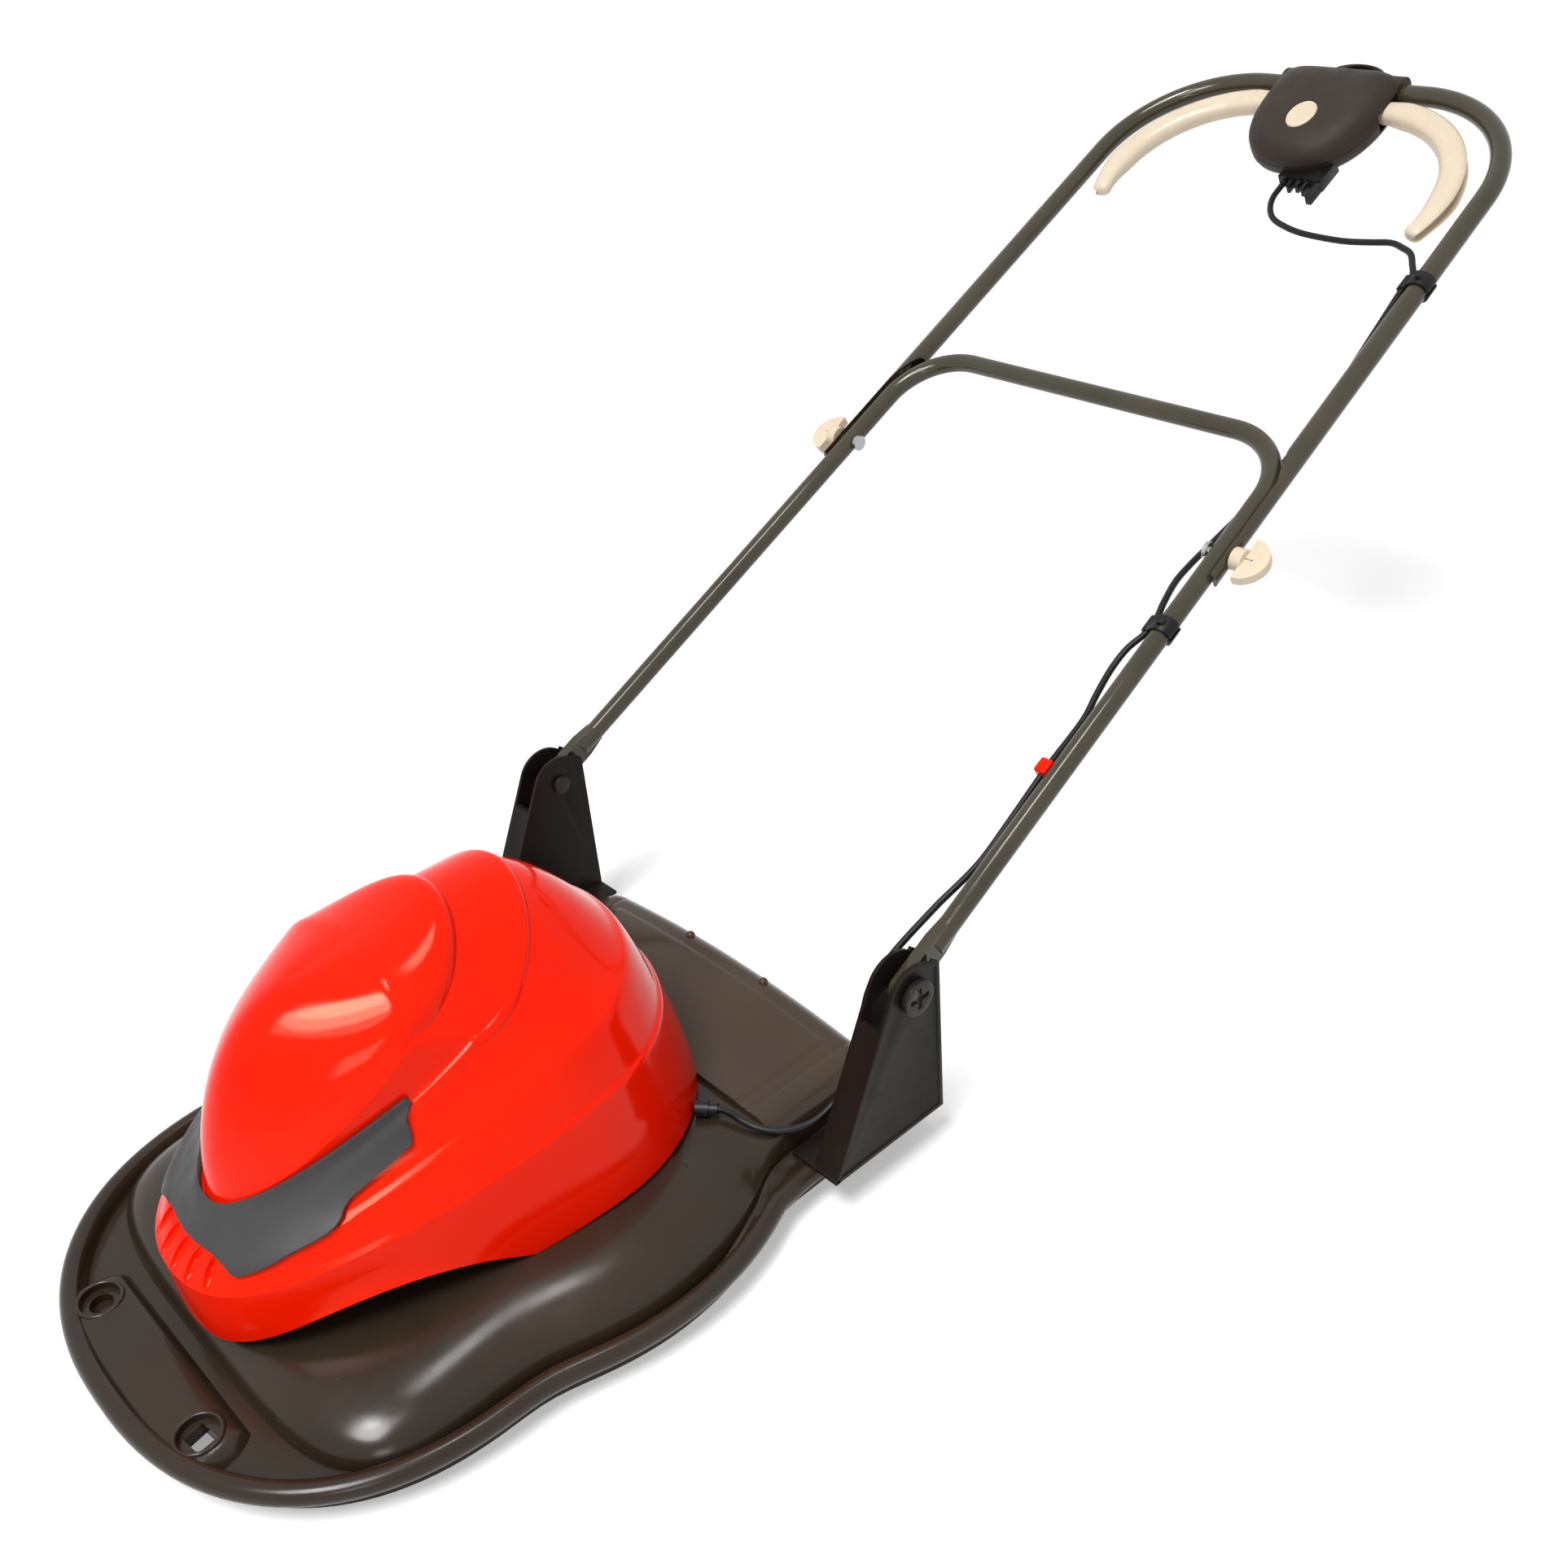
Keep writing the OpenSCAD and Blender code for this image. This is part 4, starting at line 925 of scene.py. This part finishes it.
# %% [markdown]
# ## Rear panel
# Behind the hood a crowned panel closes the tail. Its relief is too shallow for separate pieces. So it is
# a fine grid whose heights carry the slope, the crown, a raised middle, a line on each side and the roll
# at its edges.

# %% Rear panel
panel_half, panel_mid, panel_reach = 166, 188, 58
panel_across, panel_along = 190, 70


def panel_height(x, y):
    slope = 60.3 - 8 * (y - 84) / 170
    z = slope + 13 * (1 - (x / panel_half) ** 2) * soft(ramp(y, 135, 235))
    z += 1.3 * soft(ramp(min(130 - abs(x), 222 - y), 0, 3.5))
    z -= 0.9 * math.exp(-((abs(x) - 141) / 1.6) ** 2)
    return z - 12 * ramp(y, 229, 246) ** 2 - 7 * ramp(abs(x), 148, panel_half) ** 2


panel = grid("rear_panel", panel_across, panel_along)
for v in panel.data.vertices:
    x, y = v.co.x / grid_half * panel_half, panel_mid + v.co.y / grid_half * panel_reach
    v.co = on_deck(x, y, panel_height(x, y))
apply(panel, "SOLIDIFY", thickness=0.0028, offset=-1)
print("panel", 2 * panel_half, "by", 2 * panel_reach, "mm")

# %% [markdown]
# The rear corners are cut off, and two pips stand on the rear ledge. Each pip is a small ball that is sunk
# to its middle and joined to the panel.

# %% Corners and pips
for side in (1, -1):
    corner = on_deck(panel_half * side, panel_mid + panel_reach, 55)
    carve(panel, block(corner, (24, 24, 60), (0, 0, math.radians(45))))
pip_x, pip_y = 46, 233
for side in (1, -1):
    deselect()
    bpy.ops.mesh.primitive_uv_sphere_add(segments=24, ring_count=12, radius=0.0042,
                                         location=on_deck(pip_x * side, pip_y, panel_height(pip_x, pip_y)))
    bpy.ops.object.transform_apply(location=True)
    panel.select_set(True)
    bpy.context.view_layer.objects.active = panel
    bpy.ops.object.join()
settle(panel, 40, panel_plastic, "deck_trim", "deck", "rear_cover")

# %% [markdown]
# ## Switch box
# The switch box is a pebble in two halves that closes round the top bar: round at the front, straight at
# the back. A rounded box would have the wrong front. So both halves are lofts of one D-shaped outline,
# which moves inwards as it rises, and the whole slopes down to the front.

# %% Halves of the switch box
box_steps = 96
box_half, box_mid, box_front, box_back = 61, 918, 74, 45
lid_rows = ((0, 0.3), (0, 7), (0.8, 11), (2.6, 15), (6, 19.5), (11, 23), (18, 25.6), (27, 27.2), (38, 28))
tray_rows = ((0, -0.3), (0.6, -7), (3, -13), (8, -18), (16, -21), (30, -22))


def around(steps):
    return [(math.cos(2 * math.pi * i / steps), math.sin(2 * math.pi * i / steps)) for i in range(steps)]


def rounded(c, power):
    return math.copysign(abs(c) ** power, c)


def box_slope(along):
    return 0.84 + 0.16 * ramp(along, 850, 930)


def box_line(inset, height):
    ring = []
    for c, s in around(box_steps):
        power, reach = (2.3, box_front) if s < 0 else (6, box_back)
        x = (box_half - inset) * rounded(c, 2 / power)
        along = box_mid + (reach - inset) * rounded(s, 2 / power)
        ring.append(on_handle(x, along, height * box_slope(along)))
    return ring


lid = loft("switch_lid", [box_line(inset, height) for inset, height in lid_rows])
tray = loft("switch_tray", [box_line(inset, height) for inset, height in tray_rows])

# %% [markdown]
# A saddle on the lid follows the bar. Then both halves get a bore for the bar and a slot on each side for
# the levers, and the lid gets an oval hole for the button.

# %% Openings of the switch box
bar_along, lever_along, button_along = 952, 926, 886
unite(lid, rod(on_handle(0, bar_along, 2), 13.6, 121, along_bar))
for half in (lid, tray):
    carve(half, rod(on_handle(0, bar_along, 0), 8.95, 200, along_bar))
    for side in (1, -1):
        carve(half, block(on_handle(55 * side, lever_along, 0), (60, 33, 18.4), leaning))
carve(lid, rod(on_handle(0, button_along, 22), 13.9, 40, leaning, oval=1.22))
for half, node in ((lid, "switch_cover"), (tray, "switch_base")):
    settle(half, 38, box_plastic, "switch_box", "upper_handle", node)

# %% [markdown]
# ## Lead anchor
# Under the front of the box a black comb anchors the lead. It could be extruded tooth by tooth. United
# blocks are shorter to write, and one bevel softens all of them.

# %% Lead anchor
anchor = block(on_handle(21, 852, -11), (44, 28, 12), leaning)
anchor.name = "lead_anchor"
for x, wide, reach in ((13, 3, 8), (21, 3.4, 6.5), (29, 3, 10), (40.2, 5.4, 19)):
    unite(anchor, block(on_handle(x, 838.5 - reach / 2, -11.5), (wide, reach + 1, 9), leaning))
round_edges(anchor, 0.7, 2)
settle(anchor, 35, black_plastic, "black", "upper_handle", "cable_restraint")

# %% [markdown]
# ## Lead tab
# A small red tab holds the lead on the inner side of the right leg. It is a block with soft edges, and the
# leg's own round shape is carved out of it, so that it sits on the tube without a gap.

# %% Lead tab
leg_lean = math.tan(math.radians(1.25))
tab_along = 200
tab_leg = leg_x - tab_along * leg_lean
tab = block(on_handle(tab_leg - 12.4, tab_along, 1), (11, 13, 12), leaning)
tab.name = "lead_clip_small"
round_edges(tab, 2.2, 4)
carve(tab, rod(on_handle(tab_leg, tab_along, 0), 8.3, 60, (handle_lean - math.pi / 2, 0, 0), 48))
settle(tab, 35, hood_plastic, "hood", "lower_handle", "cable_clip_small")

# %% [markdown]
# ## Safety button
# The safety button is an oval that stands almost flush in the lid, with a soft edge. A bevelled cylinder
# would have a level top. It is lofted like the lid, so its face keeps the lid's slope.

# %% Safety button
button_steps, button_half, button_reach = 64, 13.5, 16.5
button_rows = ((0, 10), (0, 26.6), (0.4, 27.7), (1.3, 28.3), (3, 28.5), (6, 28.6), (11, 28.7))


def button_line(inset, height):
    ring = []
    for c, s in around(button_steps):
        along = button_along + (button_reach - inset) * s
        ring.append(on_handle((button_half - inset) * c, along, height * box_slope(along)))
    return ring


button = loft("safety_button", [button_line(inset, height) for inset, height in button_rows])
settle(button, 40, cream_plastic, "cream", "lock_button", "lock_button")

# %% [markdown]
# ## Grip levers
# Each lever is a bent bar with a rounded section and a finger groove along its outer side. A curve with a
# bevel has one section all along. So sections are set round a little over a quarter turn and lofted: thin
# in the box, full along the grip, and shrinking to a round tip.

# %% Section of a lever
lever_points = 56
lever_wide, lever_thick = 12.4, 9.8


def lever_section(x, along, out_x, out_s, scale, groove_depth):
    ring = []
    for c, s in around(lever_points):
        turned = abs(math.atan2(s, c))
        out = lever_wide * scale * rounded(c, 0.8) - groove_depth * (1 - soft(ramp(turned, 0.28, 0.52)))
        ring.append(on_handle(x + out * out_x, along + out * out_s, lever_thick * scale * rounded(s, 0.8)))
    return ring


print("lever", 2 * lever_wide, "by", 2 * lever_thick, "mm at its grip")

# %% Grip levers
bend_x, bend_r, bend_steps, bend_turn = 58, 110, 36, 106
bend_along = lever_along - bend_r


def lever_bend(side, angle, past, scale, groove_depth):
    x = side * (bend_x + bend_r * math.cos(angle) + past * math.sin(angle))
    along = bend_along + bend_r * math.sin(angle) - past * math.cos(angle)
    return lever_section(x, along, side * math.cos(angle), math.sin(angle), scale, groove_depth)


def lever_rings(side):
    rings = [lever_section(side * x, lever_along, 0, 1, scale, 0)
             for x, scale in ((36, 0.7), (46, 0.72), (54, 0.76), (bend_x, 0.84))]
    for step in range(1, bend_steps + 1):
        angle = math.radians(90 - bend_turn * step / bend_steps)
        grown = 0.84 + 0.16 * soft(ramp(step, 0, 4))
        thin = grown * (1 - 0.3 * soft(ramp(step, 28, bend_steps)))
        rings.append(lever_bend(side, angle, 0, thin, 9 * soft(ramp(step, 8, 18)) * thin))
    tip = math.radians(90 - bend_turn)
    for past, scale in ((2.5, 0.64), (4.2, 0.5), (5.2, 0.28)):
        rings.append(lever_bend(side, tip, past, scale, 6 * scale))
    return rings


for side, hand in ((-1, "left"), (1, "right")):
    grip = loft("grip_lever_" + hand, lever_rings(side))
    settle(grip, 50, cream_plastic, "cream", "lever_" + hand, "lever_" + hand)

# %% [markdown]
# ## Lead tube
# The lead is a round cable that passes through listed points. Straight pieces between them would show
# corners, so a smooth curve is drawn through all points, six steps to each, and bevelled into a tube.

# %% Tube through points
lead_r, lead_gap = 2.75, 1.2
steps_between = 6


def path_through(points):
    path = []
    for i in range(len(points) - 1):
        p0, p1, p2, p3 = (points[max(0, min(len(points) - 1, i + k))] for k in (-1, 0, 1, 2))
        for step in range(steps_between):
            t = step / steps_between
            path.append(0.5 * (2 * p1 + (p2 - p0) * t + (2 * p0 - 5 * p1 + 4 * p2 - p3) * t * t
                               + (3 * p1 - p0 - 3 * p2 + p3) * t ** 3))
    return path + [points[-1]]


def tube(name, points):
    deselect()
    path = path_through(points)
    bpy.ops.curve.primitive_bezier_curve_add()
    line = bpy.context.object
    line.name = name
    line.data.splines.clear()
    run = line.data.splines.new("POLY")
    run.points.add(len(path) - 1)
    for dot, p in zip(run.points, path):
        dot.co = (*p, 1)
    line.data.dimensions = "3D"
    line.data.bevel_depth = lead_r / 1000
    line.data.bevel_resolution = 4
    line.data.use_fill_caps = True
    bpy.ops.object.convert(target="MESH")
    smooth(line, 60)
    return line


print("lead", 2 * lead_r, "mm thick")

# %% [markdown]
# ## Switch lead
# The lead runs from the switch box to the upper clip, down the right leg and along the deck into the hood.
# On the legs its distance from the tube is worked out, and a third number says how far it bows away
# between clips.

# %% Route of the lead
upper_leg_x, upper_r, lower_r = 217.5, 8.8, 8.15


def upper_side(along):
    return upper_leg_x - along * leg_lean - upper_r - lead_r - lead_gap


def lower_side(along):
    return leg_x - along * leg_lean - lower_r - lead_r - lead_gap


under_box = [(5, 846, -11), (5, 832, -11), (6, 816, -11), (12, 802, -11), (22, 791, -11), (38, 783, -10),
             (58, 777, -9), (82, 774, -8), (106, 773, -7), (128, 775, -6), (148, 776, -4), (162, 771, -3),
             (173, 764, -1), (181.5, 752, 0)]
down_upper_leg = [(739, 0), (720, 0), (700, -2), (660, -6), (620, -10), (590, -12.5)]
down_lower_leg = [(584, -12.5, 0), (560, -13, 2), (540, -13, 2), (500, -13, 0), (470, -12.5, 3),
                  (440, -12, 8), (420, -11, 11), (395, -6, 10), (370, -1, 4), (354, 0, 0), (338, 0, 0),
                  (320, -1, 6), (300, -3, 8), (275, -3, 5), (250, -3, 1), (206, 0, 0), (194, 0, 0),
                  (150, -2, 0), (110, -2, 0)]
above_pivot = [(192, 70, -2), (189, 40, -1), (188, 20, 0), (188, 4, 0)]
over_deck = [(188, 221, 152), (188, 214, 142), (189, 206, 122), (191, 196, 100), (191, 186, 80),
             (189, 172, 66), (186, 154, 59), (176, 135, 57.5), (163, 123, 59.5), (149, 118, 61.5),
             (139, 117, 62.5), (129, 114, 62.5), (119, 107, 62)]
handle_run = [on_handle(*p) for p in under_box]
handle_run += [on_handle(upper_side(along), along, up) for along, up in down_upper_leg]
for along, up, bow in down_lower_leg:
    beside = upper_side(along) if along > 520 else lower_side(along)
    handle_run.append(on_handle(beside - bow, along, up))
handle_run.append(on_handle(*above_pivot[0]))
deck_run = [on_handle(*p) for p in above_pivot] + [on_deck(*p) for p in over_deck]
print("lead points", len(handle_run) + len(deck_run))

# %% [markdown]
# The lead bends where the handle folds and where it swings. One rigid tube would tear off there, so it is
# two tubes: one down the handle and one from the pivot over the deck. One rigid tube would tear off there, so it
# is
# two tubes, and each is blended from one body to the next over a stretch around its joint.

# %% Switch lead
upper_lead = tube("switch_lead_upper", handle_run)
lower_lead = tube("switch_lead_lower", deck_run)
for piece, first_body, next_body, start, end in (
        (upper_lead, "upper_handle", "lower_handle", on_handle(200, 600, 0), on_handle(200, 430, 0)),
        (lower_lead, "lower_handle", "deck", on_handle(188, 50, 0), on_handle(188, -40, 0))):
    piece.data.materials.clear()
    piece.data.materials.append(lead_rubber)
    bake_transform(piece)
    print(piece.name, "from", first_body, "to", next_body)
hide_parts("lead_upper", "lead_lower")
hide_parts("lead_deck")

# %% [markdown]
# ## Floor
# The mower stands on a plain white floor. More light would whiten it but bleach the mower too. So the
# floor glows a little, but only for rays from the camera and those that gloss or a clear surface sends on,
# and the shadow stays.

# %% Floor
def seen_rays(nodes, links):
    rays = nodes.new("ShaderNodeLightPath")
    seen = rays.outputs["Is Camera Ray"]
    for name in ("Is Glossy Ray", "Is Transmission Ray"):
        both = nodes.new("ShaderNodeMath")
        both.operation = "MAXIMUM"
        links.new(seen, both.inputs[0])
        links.new(rays.outputs[name], both.inputs[1])
        seen = both.outputs["Value"]
    return seen


deselect()
bpy.ops.mesh.primitive_plane_add(size=80, location=(0, 0, 0))
floor = bpy.context.object
floor.name = "studio_floor"
floor_paint = bpy.data.materials.new("floor_paint")
floor_paint.use_nodes = True
nodes, links = floor_paint.node_tree.nodes, floor_paint.node_tree.links
shader = nodes["Principled BSDF"]
shader.inputs["Base Color"].default_value = (0.86, 0.86, 0.86, 1)
shader.inputs["Roughness"].default_value = 0.9
shader.inputs["Specular IOR Level"].default_value = 0.0
shader.inputs["Emission Color"].default_value = (1, 1, 1, 1)
lift = nodes.new("ShaderNodeMath")
lift.operation = "MULTIPLY"
lift.inputs[1].default_value = 0.34
links.new(seen_rays(nodes, links), lift.inputs[0])
links.new(lift.outputs["Value"], shader.inputs["Emission Strength"])
floor.data.materials.append(floor_paint)
print("floor glows by", round(lift.inputs[1].default_value, 2), "where it is seen")

# %% [markdown]
# ## Light
# An even sky and a wide sun give the plain level at which a colour looks as it is written. Stronger lamps
# would clip the cream and the red. The sky is white where it is seen and dimmer as a light. Small soft
# boxes put highlights on hood and deck, and the largest shows only in reflections.

# %% Sky and sun
sky = bpy.data.worlds.new("studio_sky")
bpy.context.scene.world = sky
sky.use_nodes = True
nodes, links = sky.node_tree.nodes, sky.node_tree.links
glow = nodes["Background"]
glow.inputs["Color"].default_value = (1, 1, 1, 1)
level = nodes.new("ShaderNodeMapRange")
level.inputs["To Min"].default_value = 0.3
level.inputs["To Max"].default_value = 1.0
links.new(seen_rays(nodes, links), level.inputs["Value"])
links.new(level.outputs["Result"], glow.inputs["Strength"])
deselect()
bpy.ops.object.light_add(type="SUN", rotation=(math.radians(25), math.radians(8), 0))
bpy.context.object.data.energy = 1.8
bpy.context.object.data.angle = math.radians(22)
print("sun", round(bpy.context.object.data.energy, 1), "over a sky of 0.3")

# %% Soft boxes
for place, size, power, lights_all in (((0.15, motor_y - 0.85, 2.0), 0.34, 6, True),
                                       ((0.0, motor_y + 0.1, 2.2), 0.4, 8, True),
                                       ((1.3, -1.6, 0.9), 0.4, 3, True),
                                       ((0.35, motor_y - 0.95, 1.9), 0.9, 17, False)):
    bpy.ops.object.light_add(type="AREA", location=place)
    lamp = bpy.context.object
    lamp.data.size = size
    lamp.data.energy = power
    lamp.visible_diffuse = lights_all
    aim = Vector((0, motor_y, 0.1)) - Vector(place)
    lamp.rotation_euler = aim.to_track_quat("-Z", "Y").to_euler()
bpy.context.scene.view_settings.view_transform = "Standard"
